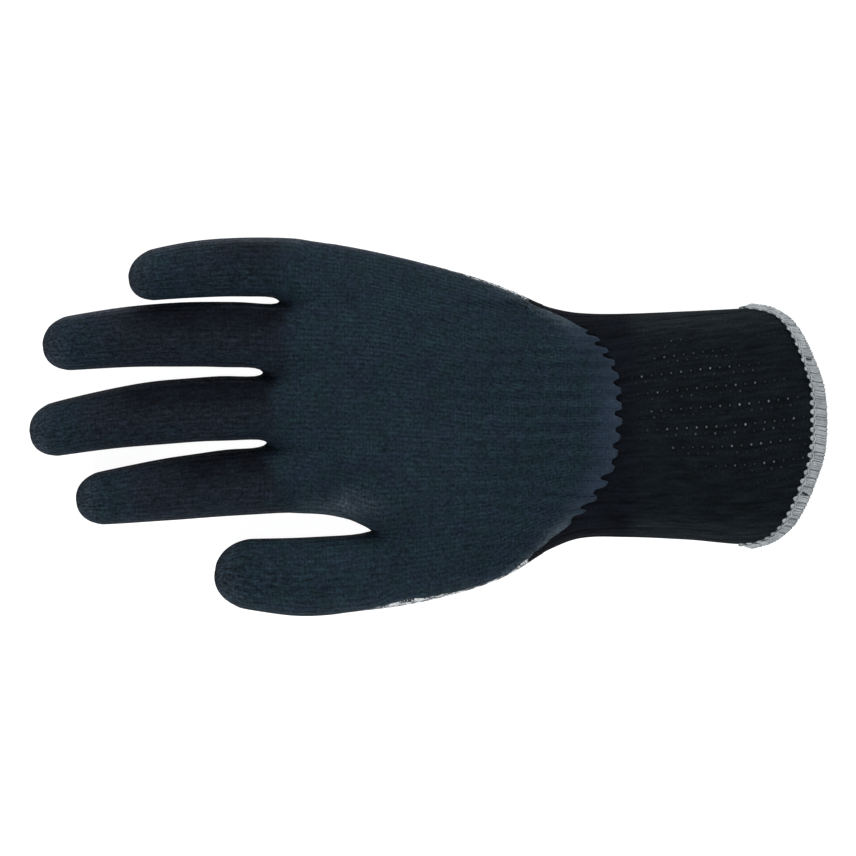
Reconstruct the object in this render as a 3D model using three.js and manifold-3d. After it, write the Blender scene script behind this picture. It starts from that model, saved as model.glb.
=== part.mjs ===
// Coated work glove for the left hand, lying on its back with the palm up.
// Units are millimetres. +Z is up, out of the palm. The fingers point along -X, the cuff opens towards +X,
// and the little finger is on the +Y side. The origin is the middle of the glove's footprint, at its base.
//
// The glove is a seamless knitted hand, a rubber coating dipped over its palm side, a ribbed knit cuff, and
// the overlock thread that binds the cuff's mouth. The knit is held as a palm and five finger tubes, the way
// it is knitted before the tubes are joined. All the pieces are walls round one hollow. They share one skin,
// a mesh of four-sided cells laid like the knit: columns run from the cuff to the fingertips, rings run
// round the hand, and each finger is a tube that leaves the palm at its web.
import * as THREE from "three";
import { mergeVertices } from "three/addons/utils/BufferGeometryUtils.js";
import Module from "manifold-3d";

// Wall sizes.
const KNIT = 1.2; // thickness of the knitted hand
const COATING = 1.0; // thickness of the dipped rubber
const GAP = 0.3; // clearance between two pieces that touch
const COVER = GAP + COATING; // how far the coating's face stands off the knit
const CUFF_WALL = 1.6; // thickness of the cuff at the crest of a rib
const RIB_DEPTH = 0.6; // from a rib's crest to the groove beside it
const RIB_COUNT = 33; // ribs round the cuff
const RIB_SETBACK = 0.2; // how far the crests lie below the skin
const HEM_WIDTH = 5.0; // the overlock binding in the middle of the mouth
const HEM_WIDTH_AT_FOLD = 3.0; // and at its side folds
const HEM_THICKNESS = 0.9;

// Places along the length.
const COATING_START = 66; // the dipped skin is laid out from here and then trimmed to its dip line
const CUFF_JOINT = 36; // the hand's fine knit turns into the cuff's rib
const KNIT_START = CUFF_JOINT - GAP; // where the knitted palm begins
const MOUTH_CORNER = 99.0; // the cuff's mouth at its two side folds
const MOUTH_BULGE_PALM = 25; // how far the palm side of the mouth reaches past its corners
const MOUTH_BULGE_BACK = 21; // the same on the back
const THUMB_START = 14; // the thumb begins to stand out of the palm here,
const KNUCKLES_START = 3; // the rest of the palm narrows from here,
const THUMB_CROTCH = -19; // and they part here

// The palm's outline and heights over the coating, from the mouth to the thumb's crotch. "crown" is the top
// of the palm, "side" is the height of the side folds, where the palm side meets the back.
const PALM_STATIONS = [
  { x: 124, little: 38.6, thumb: -36.0, crown: 19.0, side: 9.0 },
  { x: 100, little: 37.1, thumb: -37.2, crown: 22.5, side: 10.0 },
  { x: 82, little: 36.1, thumb: -35.4, crown: 25.0, side: 11.5 },
  { x: 62, little: 35.2, thumb: -34.6, crown: 26.0, side: 12.0 },
  { x: 48, little: 35.6, thumb: -35.3, crown: 27.0, side: 12.5 },
  { x: 38, little: 37.8, thumb: -39.3, crown: 28.0, side: 13.0 },
  { x: 26, little: 42.9, thumb: -46.6, crown: 29.0, side: 13.5 },
  { x: 10, little: 48.3, thumb: -52.5, crown: 29.5, side: 14.0 },
  { x: -8, little: 52.8, thumb: -56.6, crown: 28.5, side: 14.0 },
  { x: THUMB_CROTCH, little: 55.2, thumb: -58.0, crown: 27.5, side: 14.0 },
];
// From the thumb's crotch on, the palm carries four fingers and its thumb edge is the index finger's side.
const KNUCKLE_STATIONS = [
  { x: -19, little: 55.2, index: -31.7, crown: 27.5, side: 14.0 },
  { x: -24, little: 56.2, index: -29.5, crown: 27.0, side: 13.8 },
  { x: -32, little: 57.3, index: -27.9, crown: 26.0, side: 13.6 },
  { x: -41, little: 58.7, index: -27.3, crown: 24.5, side: 13.5 },
  { x: -53, little: 59.5, index: -27.3, crown: 23.0, side: 13.5 },
];
const SECTION_POWER = 2.3; // 2 is an ellipse; more is a squarer section
const FLOOR_PRESS = 2.0; // how far the back would bulge below the surface that flattens it
const MOUTH_LIFT = 1.4; // the hem's thickness lifts the cuff's back this far off the surface
const LIFT_START = 80; // from here to
const LIFT_END = 105; // here

// Soft relief of the palm: where a pad or a hollow is, how wide, and how high.
const PALM_RELIEF = [
  { name: "thumb pad", x: 12, y: -31, reach: 19, height: 2.4 },
  { name: "heel pad", x: 22, y: 24, reach: 18, height: 1.2 },
  { name: "hollow", x: -4, y: 4, reach: 17, height: -2.2 },
];

// The slits between neighbouring fingers: where each one ends at its web, its width over the coating, and
// where its line crosses the thumb's crotch.
const SLITS = [
  { between: "little and ring", webX: -46.9, webY: 39.5, width: 1.9, crotchY: 37.6 },
  { between: "ring and middle", webX: -51.9, webY: 17.0, width: 1.9, crotchY: 16.4 },
  { between: "middle and index", webX: -51.3, webY: -5.5, width: 1.7, crotchY: -7.6 },
  { between: "index and thumb", webX: -19, webY: -32.3, width: 1.3, crotchY: -32.3 },
];
const LITTLE_ROOT_X = -44; // the web row's place on the little finger's outer side
const INDEX_ROOT_X = -48; // and on the index finger's outer side
const THUMB_ROOT_X = -21; // and on the thumb's outer side

// The fingers over the coating, as plan sizes: the tip, and how the axis bows and how wide the finger is
// halfway along and at the tip.
const FINGERS = [
  { name: "little", tipX: -93.4, tipY: 45.8, midY: 49.4, midWidth: 17.7, tipWidth: 16.2 },
  { name: "ring", tipX: -120.3, tipY: 25.0, midY: 28.7, midWidth: 19.8, tipWidth: 17.0 },
  { name: "middle", tipX: -124.6, tipY: -2.2, midY: 3.9, midWidth: 19.8, tipWidth: 17.2 },
  { name: "index", tipX: -109.7, tipY: -23.2, midY: -19.8, midWidth: 19.6, tipWidth: 16.7 },
  { name: "thumb", tipX: -66.7, tipY: -45.3, midY: -47.2, midWidth: 24.4, tipWidth: 21.4 },
];
// Their heights: of the axis at the root and at the tip, and half the depth of the knit at the root and
// halfway along.
const FINGER_HEIGHTS = [
  { name: "little", rootZ: 11.5, tipZ: 17.5, rootHigh: 9.4, midHigh: 7.2 },
  { name: "ring", rootZ: 12.0, tipZ: 19.0, rootHigh: 10.2, midHigh: 7.9 },
  { name: "middle", rootZ: 12.0, tipZ: 19.5, rootHigh: 10.4, midHigh: 8.0 },
  { name: "index", rootZ: 12.0, tipZ: 18.5, rootHigh: 10.0, midHigh: 7.8 },
  { name: "thumb", rootZ: 14.0, tipZ: 18.0, rootHigh: 10.4, midHigh: 9.0 },
];
const AXIS_RISE = 1.7; // power of the curve by which an axis leaves its root's height for its tip's
const WEB_SADDLE = 3.0; // the palm side and the back of a root stand this far behind its web
const ROOT_FADE = 1 / 3; // share of a finger over which the slant and saddle of its root die out
const THUMB = FINGERS.length - 1;
const INDEX = THUMB - 1;

// The mesh of the skin.
const TOP_ANGLES = [150, 120, 90, 60, 30]; // a finger ring's points on the palm side, in degrees
const COLUMNS = TOP_ANGLES.length;
const RING_PITCH = 9.5; // spacing of the rings along a finger
const TIP_RINGS = [0.62, 0.2]; // the last two rings, as shares of the tip's radius back from its end
const CAP_POINTS = [-0.3, 0, 0.3]; // points across the very tip, as shares of its half width
const PALM_ROWS = [COATING_START, 56, 46, KNIT_START, 25, 14, 3, -8];
const KNUCKLE_ROWS = 3;

// The dip line: below this height, given along the length, the knit stays bare.
const DIP_LEVEL = [
  { x: -140, z: 9.0 },
  { x: -60, z: 9.5 },
  { x: -25, z: 11.0 },
  { x: 80, z: 11.5 },
];
// At the wrist the dip line is a curve across the palm: its distance from a centre, by the angle in degrees.
const WRIST_CENTRE = { x: 17.4, y: -1.0 };
const WRIST_CURVE = [
  { angle: -86, radius: 62 },
  { angle: -80, radius: 54 },
  { angle: -74, radius: 46.0 },
  { angle: -68, radius: 43.2 },
  { angle: -58, radius: 41.4 },
  { angle: -45, radius: 41.6 },
  { angle: -30, radius: 42.9 },
  { angle: -15, radius: 43.7 },
  { angle: 0, radius: 43.7 },
  { angle: 15, radius: 45.2 },
  { angle: 30, radius: 46.6 },
  { angle: 42, radius: 46.0 },
  { angle: 50, radius: 43.9 },
  { angle: 60, radius: 43.3 },
  { angle: 68, radius: 43.2 },
  { angle: 74, radius: 46.0 },
  { angle: 80, radius: 54 },
  { angle: 86, radius: 62 },
];
// The curve's middle has rounded teeth, where the rubber runs out over the ribs. One tooth's tip is at
// "tip" degrees, the others every "pitch" degrees, and they stop "reach" degrees to each side.
const TEETH = { tip: 3.4, pitch: 6.2, reach: 48, depth: 1.9 };

const wasm = await Module();
wasm.setup();

const TINY = 1e-6;
const BEYOND = 90; // a distance that leaves the glove behind in any direction but its length
const lerp = THREE.MathUtils.lerp;
const radians = THREE.MathUtils.degToRad;
const smooth = (value) => THREE.MathUtils.smoothstep(value, 0, 1);

// Reads a column of a table at any x, or at any value of the column "along", on a smooth curve through the
// table's rows.
function atStation(table, x, column, along = "x") {
  const rows = [...table].sort((a, b) => a[along] - b[along]);
  const last = rows.length - 1;
  const place = THREE.MathUtils.clamp(x, rows[0][along], rows[last][along]);
  const i = Math.min(Math.max(rows.findIndex((row) => row[along] >= place) - 1, 0), last - 1);
  const slope = (a, b) => (rows[b][column] - rows[a][column]) / (rows[b][along] - rows[a][along]);
  const tangent = (k) => slope(Math.max(k - 1, 0), Math.min(k + 1, last));
  const span = rows[i + 1][along] - rows[i][along];
  const t = (place - rows[i][along]) / span;
  return (
    rows[i][column] * (2 * t ** 3 - 3 * t ** 2 + 1) +
    rows[i + 1][column] * (3 * t ** 2 - 2 * t ** 3) +
    span * (tangent(i) * (t ** 3 - 2 * t ** 2 + t) + tangent(i + 1) * (t ** 3 - t ** 2))
  );
}

// The hand's cross-section at x: its two edges under the coating, its crown and its side fold.
function sectionAt(x) {
  const knuckles = x < THUMB_CROTCH;
  const table = knuckles ? KNUCKLE_STATIONS : PALM_STATIONS;
  const coated = 1 - smooth((x - CUFF_JOINT) / 16); // the outline over the cuff has no coating on it
  const inset = COVER * coated;
  return {
    left: atStation(table, x, "little") - inset,
    right: atStation(table, x, knuckles ? "index" : "thumb") + inset,
    crown: atStation(table, x, "crown") - COVER,
    side: atStation(table, x, "side"),
  };
}

// Height of the palm side or of the back at (x, y): two superellipse halves that meet at the side folds, the
// lower one pressed flat on the surface.
function slabHeight(x, y, onPalm, section) {
  const middle = (section.left + section.right) / 2;
  const half = (section.left - section.right) / 2;
  const s = Math.min(Math.abs(y - middle) / half, 1);
  const bow = (1 - s ** SECTION_POWER) ** (1 / SECTION_POWER);
  if (!onPalm) {
    const lift = MOUTH_LIFT * smooth((x - LIFT_START) / (LIFT_END - LIFT_START));
    return Math.max(lift, section.side - (section.side + FLOOR_PRESS) * bow);
  }
  const relief = PALM_RELIEF.reduce((sum, pad) => {
    const distance = Math.hypot(x - pad.x, y - pad.y) / pad.reach;
    return sum + pad.height * Math.exp(-(distance ** 2));
  }, 0);
  return section.side + (section.crown - section.side) * bow + relief * bow;
}

// The height of the hand's skin before the fingers form. Nearing the thumb's crotch, the palm turns into the
// narrower one that carries four fingers.
function handHeight(x, y, onPalm, towardsThumb) {
  if (x < THUMB_CROTCH) return slabHeight(x, y, onPalm, sectionAt(x));
  const palm = slabHeight(x, y, onPalm, sectionAt(x));
  if (towardsThumb) return palm;
  const knuckles = slabHeight(x, y, onPalm, sectionAt(THUMB_CROTCH - TINY));
  return lerp(palm, knuckles, smooth((KNUCKLES_START - x) / (KNUCKLES_START - THUMB_CROTCH)));
}

// The lines that part the palm's columns into five groups, one for each finger, as Y at a given x.
function groupEdges(x) {
  const section = sectionAt(x);
  if (x < THUMB_CROTCH) {
    const share = Math.min((THUMB_CROTCH - x) / (THUMB_CROTCH - SLITS[1].webX), 1);
    const inner = SLITS.slice(0, THUMB - 1).map((slit) => lerp(slit.crotchY, slit.webY, share));
    return [section.left, ...inner, section.right];
  }
  const crotch = sectionAt(THUMB_CROTCH + TINY);
  const towardsWrist = smooth((x - THUMB_CROTCH) / (COATING_START - THUMB_CROTCH));
  const inner = SLITS.map((slit, i) => {
    const atCrotch = (crotch.left - slit.crotchY) / (crotch.left - crotch.right);
    const atWrist = (i + 1) / FINGERS.length;
    return lerp(section.left, section.right, lerp(atCrotch, atWrist, towardsWrist));
  });
  return [section.left, ...inner, section.right];
}

// The ring where a finger leaves the palm. It runs from the slit on one side to the slit on the other, or to
// the palm's own edge on the hand's outer sides.
function rootOf(f) {
  const [before, after] = [SLITS[f - 1], f === INDEX ? undefined : SLITS[f]];
  const left = before ? before.webY - before.width / 2 - COVER : sectionAt(LITTLE_ROOT_X).left;
  const outerEdge = f === THUMB ? sectionAt(THUMB_CROTCH + TINY).right : sectionAt(INDEX_ROOT_X).right;
  const right = after ? after.webY + after.width / 2 + COVER : outerEdge;
  const leftX = before ? before.webX : LITTLE_ROOT_X;
  const rightX = after ? after.webX : f === THUMB ? THUMB_ROOT_X : INDEX_ROOT_X;
  const { rootZ, rootHigh } = FINGER_HEIGHTS[f];
  return {
    centre: new THREE.Vector3((leftX + rightX) / 2 + COVER, (left + right) / 2, rootZ),
    along: new THREE.Vector3(-1, 0, 0),
    half: (left - right) / 2,
    high: rootHigh,
    slant: (leftX - rightX) / (left - right),
    saddle: WEB_SADDLE,
  };
}

// A point of an elliptical ring across an axis, from 0 degrees on its thumb side over the palm side. "slant"
// leans the ring in plan, and "saddle" carries its palm side and back towards the wrist.
function ringPoint({ centre, along, half, high, slant, saddle }, degrees) {
  const across = new THREE.Vector3(along.y, -along.x, 0).normalize();
  const up = new THREE.Vector3().crossVectors(across, along);
  const side = -Math.cos(radians(degrees)) * half;
  const rise = Math.sin(radians(degrees));
  const point = centre.clone().addScaledVector(across, side).addScaledVector(up, rise * high);
  point.x += side * slant + Math.sqrt(Math.abs(rise)) * saddle;
  return point;
}

// The rings along a finger after its root, and the points that close its tip.
function fingerRings(f) {
  const plan = FINGERS[f];
  const heights = FINGER_HEIGHTS[f];
  const root = rootOf(f);
  const tip = new THREE.Vector3(plan.tipX + COVER, plan.tipY, heights.tipZ);
  const length = root.centre.x - tip.x;
  const midHalf = plan.midWidth / 2 - COVER;
  const tipRadius = plan.tipWidth / 2 - COVER;
  const bowedY = (t) =>
    root.centre.y * (1 - t) * (1 - 2 * t) + 4 * plan.midY * t * (1 - t) + tip.y * t * (2 * t - 1);
  const centreAt = (t) =>
    new THREE.Vector3(
      lerp(root.centre.x, tip.x, t),
      bowedY(t),
      lerp(root.centre.z, tip.z, Math.max(t, 0) ** AXIS_RISE),
    );
  const sizeAt = (t, atRoot, halfway, atTip) =>
    t < 0.5 ? lerp(atRoot, halfway, smooth(t * 2)) : lerp(halfway, atTip, (t - 0.5) * 2);
  const ringAt = (fromTip) => {
    const t = 1 - fromTip / length;
    const roundedTip = Math.sqrt(1 - Math.max(0, 1 - fromTip / tipRadius) ** 2);
    const fade = Math.max(0, 1 - t / ROOT_FADE);
    return {
      centre: centreAt(t),
      along: centreAt(t + 0.01).sub(centreAt(t - 0.01)).normalize(),
      half: sizeAt(t, root.half, midHalf, tipRadius) * roundedTip,
      high: sizeAt(t, root.high, heights.midHigh, (tipRadius * heights.midHigh) / midHalf) * roundedTip,
      slant: root.slant * fade,
      saddle: root.saddle * fade,
    };
  };
  const straight = length - tipRadius;
  const count = Math.round(straight / RING_PITCH);
  const rings = [];
  for (let k = 1; k <= count; k++) rings.push(ringAt(length - (straight * k) / count));
  for (const share of TIP_RINGS) rings.push(ringAt(share * tipRadius));
  const end = ringAt(0);
  const cap = CAP_POINTS.map((share) => ringPoint({ ...end, half: tipRadius * share }, 0));
  return { rings, cap };
}

// Where the index finger's side meets the thumb's web.
function thumbWebPoint() {
  const web = SLITS[INDEX];
  return new THREE.Vector3(web.webX + COVER, web.webY + web.width / 2 + COVER, FINGER_HEIGHTS[THUMB].rootZ);
}

// The skin: points and four-sided cells of the whole hand from the row at startX to the fingertips. "tubes"
// has the cells of each finger past its root, and its first two rings.
function handSkin(startX) {
  const points = [];
  const cells = [];
  const add = (point) => points.push(point) - 1;
  const cell = (a, b, c, d) => cells.push([a, b, c, d]);
  const palmRows = PALM_ROWS.filter((x) => x <= startX);
  const crotchRow = palmRows.length;
  const webRow = crotchRow + KNUCKLE_ROWS;
  const rootRowOf = (f) => (f === THUMB ? crotchRow : webRow);
  const rootX = [LITTLE_ROOT_X, ...SLITS.slice(0, THUMB - 1).map((slit) => slit.webX), INDEX_ROOT_X];
  const groups = FINGERS.map(() => []); // groups[f][row] has the point numbers of a finger's share of a ring

  const shareOfRing = (f, row) => {
    const root = rootOf(f);
    const rowX = row < crotchRow ? palmRows[row] : THUMB_CROTCH + COVER;
    const pastCrotch = Math.max(0, row - crotchRow) / KNUCKLE_ROWS;
    const thumbForms = (THUMB_START - rowX) / (THUMB_START - THUMB_CROTCH - COVER);
    const formed = f === THUMB ? smooth(thumbForms) : smooth(pastCrotch);
    const atRoot = row === rootRowOf(f);
    const xAt = (share) =>
      pastCrotch ? lerp(THUMB_CROTCH, lerp(rootX[f], rootX[f + 1], share), pastCrotch) + COVER : rowX;
    const place = (share, degrees) => {
      if (atRoot) return ringPoint(root, degrees);
      const onPalm = degrees > 0;
      const x = xAt(share);
      const edges = groupEdges(x);
      const [left, right] = [edges[f], edges[f + 1]];
      const y = lerp(left, right, share);
      const flat = new THREE.Vector3(x, y, handHeight(x, y, onPalm, f === THUMB));
      const axisY = lerp((left + right) / 2, root.centre.y, formed);
      const half = lerp((left - right) / 2, root.half, formed);
      const centre = new THREE.Vector3(x, axisY, root.centre.z);
      const round = ringPoint({ ...root, centre, half }, degrees);
      round.x = x;
      return flat.lerp(round, formed);
    };
    const sidePlace = (share, degrees) => {
      if (atRoot) return ringPoint(root, degrees);
      const x = xAt(share);
      const section = sectionAt(x);
      const y = share ? section.right : section.left;
      return new THREE.Vector3(x, y, lerp(section.side, root.centre.z, formed));
    };
    const share = (j) => (j + 0.5) / COLUMNS;
    const hasLeft = f === 0 || row >= rootRowOf(f);
    const hasRight = f === THUMB || row >= (f === INDEX ? crotchRow : webRow);
    const atThumbWeb = f === INDEX && row === crotchRow;
    return {
      top: TOP_ANGLES.map((degrees, j) => add(place(share(j), degrees))),
      bottom: TOP_ANGLES.map((degrees, j) => add(place(share(j), -degrees))),
      left: hasLeft ? add(sidePlace(0, 180)) : null,
      right: hasRight ? add(atThumbWeb ? thumbWebPoint() : sidePlace(1, 0)) : null,
    };
  };

  FINGERS.forEach((_, f) => {
    for (let row = 0; row <= rootRowOf(f); row++) groups[f].push(shareOfRing(f, row));
    const { rings, cap } = fingerRings(f);
    for (const ring of rings)
      groups[f].push({
        top: TOP_ANGLES.map((degrees) => add(ringPoint(ring, degrees))),
        bottom: TOP_ANGLES.map((degrees) => add(ringPoint(ring, -degrees))),
        left: add(ringPoint(ring, 180)),
        right: add(ringPoint(ring, 0)),
      });
    groups[f].cap = cap.map(add);
  });

  // Cells between one ring and the next, for each finger's share of the ring.
  const tubes = groups.map((rows, f) => {
    let start = 0;
    for (let r = 0; r + 1 < rows.length; r++) {
      if (r === rootRowOf(f)) start = cells.length;
      const near = rows[r];
      const far = rows[r + 1];
      for (let j = 0; j + 1 < COLUMNS; j++) {
        cell(near.top[j], far.top[j], far.top[j + 1], near.top[j + 1]);
        cell(near.bottom[j + 1], far.bottom[j + 1], far.bottom[j], near.bottom[j]);
      }
      if (near.left !== null && far.left !== null) {
        cell(near.left, far.left, far.top[0], near.top[0]);
        cell(near.bottom[0], far.bottom[0], far.left, near.left);
      }
      if (near.right !== null && far.right !== null) {
        cell(near.top.at(-1), far.top.at(-1), far.right, near.right);
        cell(near.right, far.right, far.bottom.at(-1), near.bottom.at(-1));
      }
    }
    const end = rows.at(-1);
    const middle = [end.left, ...rows.cap, end.right];
    for (let j = 0; j + 1 < COLUMNS; j++) {
      cell(end.top[j], middle[j], middle[j + 1], end.top[j + 1]);
      cell(middle[j], end.bottom[j], end.bottom[j + 1], middle[j + 1]);
    }
    const [ring, next] = rows
      .slice(rootRowOf(f), rootRowOf(f) + 2)
      .map(({ left, top, right, bottom }) => [left, ...top, right, ...bottom]);
    return { cells: cells.slice(start), ring, next };
  });
  // Cells in the valleys between the fingers' shares, and the web that closes each slit.
  for (let f = 0; f < THUMB; f++) {
    const a = groups[f];
    const b = groups[f + 1];
    const open = rootRowOf(b === groups[THUMB] ? THUMB : f);
    for (let r = 0; r < open; r++) {
      cell(a[r].top.at(-1), a[r + 1].top.at(-1), b[r + 1].top[0], b[r].top[0]);
      cell(b[r].bottom[0], b[r + 1].bottom[0], a[r + 1].bottom.at(-1), a[r].bottom.at(-1));
    }
    cell(a[open].top.at(-1), a[open].right, b[open].left, b[open].top[0]);
    cell(a[open].right, a[open].bottom.at(-1), b[open].bottom[0], b[open].left);
  }
  return { points, cells, tubes };
}

// The direction out of the skin at each point, from the cells round it.
function skinNormals({ points, cells }) {
  const normals = points.map(() => new THREE.Vector3());
  for (const [a, b, c, d] of cells) {
    const across = points[c].clone().sub(points[a]);
    const along = points[d].clone().sub(points[b]);
    const normal = across.cross(along);
    for (const i of [a, b, c, d]) normals[i].add(normal);
  }
  return normals.map((normal) => normal.normalize());
}

// A closed wall between two offsets of a skin, round all its cells or some of them. The wall's free edges,
// which no other cell shares, get a rim.
function wall(skin, outer, inner, cells = skin.cells) {
  const normals = skinNormals(skin);
  const count = skin.points.length;
  const vertices = [outer, inner].flatMap((offset) =>
    skin.points.map((point, i) => point.clone().addScaledVector(normals[i], offset)),
  );
  const faces = [];
  const edges = new Map();
  for (const [a, b, c, d] of cells) {
    faces.push([a, b, c], [a, c, d]);
    faces.push([a + count, c + count, b + count], [a + count, d + count, c + count]);
    for (const edge of [[a, b], [b, c], [c, d], [d, a]]) edges.set(edge.join(), edge);
  }
  for (const [start, end] of edges.values())
    if (!edges.has([end, start].join()))
      faces.push([start, start + count, end + count], [start, end + count, end]);
  return geometryOf(vertices, faces);
}

function geometryOf(vertices, faces) {
  const used = [...new Set(faces.flat())];
  const placeOf = new Map(used.map((vertex, place) => [vertex, place]));
  const geometry = new THREE.BufferGeometry().setFromPoints(used.map((vertex) => vertices[vertex]));
  geometry.setIndex(faces.flat().map((vertex) => placeOf.get(vertex)));
  return geometry;
}

// The knitted palm, from the cuff to the fingers' roots.
function palmGeometry(skin) {
  const inTubes = new Set(skin.tubes.flatMap((tube) => tube.cells));
  return wall(skin, 0, -KNIT, skin.cells.filter((cell) => !inTubes.has(cell)));
}

// A finger's knitted tube. It starts one gap past the ring where the palm ends.
function tubeGeometry(skin, { cells, ring, next }) {
  const points = [...skin.points];
  ring.forEach((place, i) => {
    const [start, towards] = [skin.points[place], skin.points[next[i]]];
    points[place] = start.clone().lerp(towards, GAP / start.distanceTo(towards));
  });
  return wall({ points, cells: skin.cells }, 0, -KNIT, cells);
}

function toSolid(geometry) {
  const bare = new THREE.BufferGeometry().setAttribute("position", geometry.getAttribute("position"));
  bare.setIndex(geometry.index);
  const merged = mergeVertices(bare, 1e-4);
  return new wasm.Manifold(
    new wasm.Mesh({
      numProp: 3,
      vertProperties: merged.attributes.position.array,
      triVerts: new Uint32Array(merged.index.array),
    }),
  );
}

function toGeometry(solid) {
  const mesh = solid.getMesh();
  const geometry = new THREE.BufferGeometry();
  geometry.setAttribute("position", new THREE.BufferAttribute(mesh.vertProperties, 3));
  geometry.setIndex(new THREE.BufferAttribute(mesh.triVerts, 1));
  return geometry;
}

// What the dip leaves bare: everything below the bath's level.
function belowTheDip() {
  const outline = new THREE.Shape();
  outline.moveTo(DIP_LEVEL[0].x, -BEYOND);
  for (const { x, z } of DIP_LEVEL) outline.lineTo(x, z);
  outline.lineTo(DIP_LEVEL.at(-1).x, -BEYOND);
  const block = new THREE.ExtrudeGeometry(outline, { depth: 2 * BEYOND, bevelEnabled: false });
  return toSolid(block.rotateX(Math.PI / 2).translate(0, BEYOND, 0));
}

// What lies past the toothed curve at the wrist. Each tooth takes four points: its tip, a shoulder to either
// side, and a notch.
const POINTS_PER_TOOTH = 4;
function pastTheWrist() {
  const outline = new THREE.Shape();
  const step = TEETH.pitch / POINTS_PER_TOOTH;
  const end = WRIST_CURVE.at(-1).angle;
  const [first, last] = [Math.ceil((-end - TEETH.tip) / step), Math.floor((end - TEETH.tip) / step)];
  outline.moveTo(BEYOND, -BEYOND);
  outline.lineTo(WRIST_CENTRE.x, -BEYOND);
  for (let k = first; k <= last; k++) {
    const angle = TEETH.tip + k * step;
    const isNotch = THREE.MathUtils.euclideanModulo(k, POINTS_PER_TOOTH) === POINTS_PER_TOOTH / 2;
    const toothed = Math.abs(angle) < TEETH.reach;
    if (!toothed && !isNotch) continue;
    const radius = atStation(WRIST_CURVE, angle, "radius", "angle") - (toothed && isNotch ? TEETH.depth : 0);
    const [along, across] = [radius * Math.cos(radians(angle)), radius * Math.sin(radians(angle))];
    outline.lineTo(WRIST_CENTRE.x + along, WRIST_CENTRE.y + across);
  }
  outline.lineTo(WRIST_CENTRE.x, BEYOND);
  outline.lineTo(BEYOND, BEYOND);
  const block = new THREE.ExtrudeGeometry(outline, { depth: 2 * BEYOND, bevelEnabled: false });
  return toSolid(block.translate(0, 0, -BEYOND));
}

// A point of the cuff's skin. "turn" goes once round, 0 at the thumb fold and a quarter on the palm side;
// "reach" runs from the joint with the hand, 0, to the mouth, 1.
function cuffPoint(turn, x, mouthShare) {
  const angle = turn * 2 * Math.PI;
  const onPalm = Math.sin(angle) >= 0;
  const squared = (value) => Math.sign(value) * Math.abs(value) ** (2 / SECTION_POWER);
  const bulge = Math.abs(squared(Math.sin(angle))) * (onPalm ? MOUTH_BULGE_PALM : MOUTH_BULGE_BACK);
  const place = x + bulge * mouthShare;
  const section = sectionAt(place);
  const [left, right] = [section.left, section.right];
  const y = (left + right) / 2 - (squared(Math.cos(angle)) * (left - right)) / 2;
  return new THREE.Vector3(place, y, slabHeight(place, y, onPalm, section));
}

// Rows of the cuff, from the joint to the mouth, as rings of points with a rib's crest and a groove in turn.
const CUFF_ROWS = [CUFF_JOINT, 46, 56, 66, 78, 89, MOUTH_CORNER];
const CUFF_POINTS = RIB_COUNT * 2;
function cuffSkin() {
  const points = [];
  const cells = [];
  CUFF_ROWS.forEach((x, row) => {
    const mouthShare = Math.max(0, (x - COATING_START) / (MOUTH_CORNER - COATING_START));
    for (let k = 0; k < CUFF_POINTS; k++) points.push(cuffPoint(k / CUFF_POINTS, x, mouthShare));
    if (row === 0) return;
    for (let k = 0; k < CUFF_POINTS; k++) {
      const next = (k + 1) % CUFF_POINTS;
      const [near, far] = [(row - 1) * CUFF_POINTS, row * CUFF_POINTS];
      cells.push([near + k, far + k, far + next, near + next]);
    }
  });
  return { points, cells };
}

// The ribbed wall of the cuff: crests and grooves outside, plain inside.
function cuffGeometry() {
  const skin = cuffSkin();
  const normals = skinNormals(skin);
  const ribbed = skin.points.map((point, i) =>
    point.clone().addScaledVector(normals[i], -RIB_SETBACK - (i % 2 ? RIB_DEPTH : 0)),
  );
  const inside = skin.points.map((point, i) =>
    point.clone().addScaledVector(normals[i], -RIB_SETBACK - CUFF_WALL),
  );
  const count = skin.points.length;
  const faces = [];
  for (const [a, b, c, d] of skin.cells) {
    faces.push([a, b, c], [a, c, d]);
    faces.push([a + count, c + count, b + count], [a + count, d + count, c + count]);
  }
  const lastRow = count - CUFF_POINTS;
  for (let k = 0; k < CUFF_POINTS; k++) {
    const next = (k + 1) % CUFF_POINTS;
    faces.push([k, next + count, k + count], [k, next, next + count]);
    const [a, b] = [lastRow + k, lastRow + next];
    faces.push([a, b + count, b], [a, a + count, b + count]);
  }
  return geometryOf([...ribbed, ...inside], faces);
}

// The overlock hem: a thread binding that wraps the mouth's edge from outside to inside. Each row is a point
// of its section: how far back from the edge, as a share of the binding's width, how far past the edge, and
// how far out of the cuff's skin.
const HEM_INSIDE = -CUFF_WALL - RIB_SETBACK - GAP;
const HEM_SECTION = [
  { back: 1, past: 0, out: GAP },
  { back: 1, past: 0, out: GAP + HEM_THICKNESS * 0.7 },
  { back: 0.5, past: 0, out: GAP + HEM_THICKNESS },
  { back: 0, past: -0.4, out: GAP + HEM_THICKNESS },
  { back: 0, past: GAP + HEM_THICKNESS, out: HEM_INSIDE / 2 },
  { back: 0, past: -0.4, out: HEM_INSIDE - HEM_THICKNESS },
  { back: 0.8, past: 0, out: HEM_INSIDE - HEM_THICKNESS * 0.7 },
  { back: 0.8, past: 0, out: HEM_INSIDE },
  { back: 0, past: GAP, out: HEM_INSIDE },
  { back: 0, past: GAP, out: GAP },
];
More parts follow.
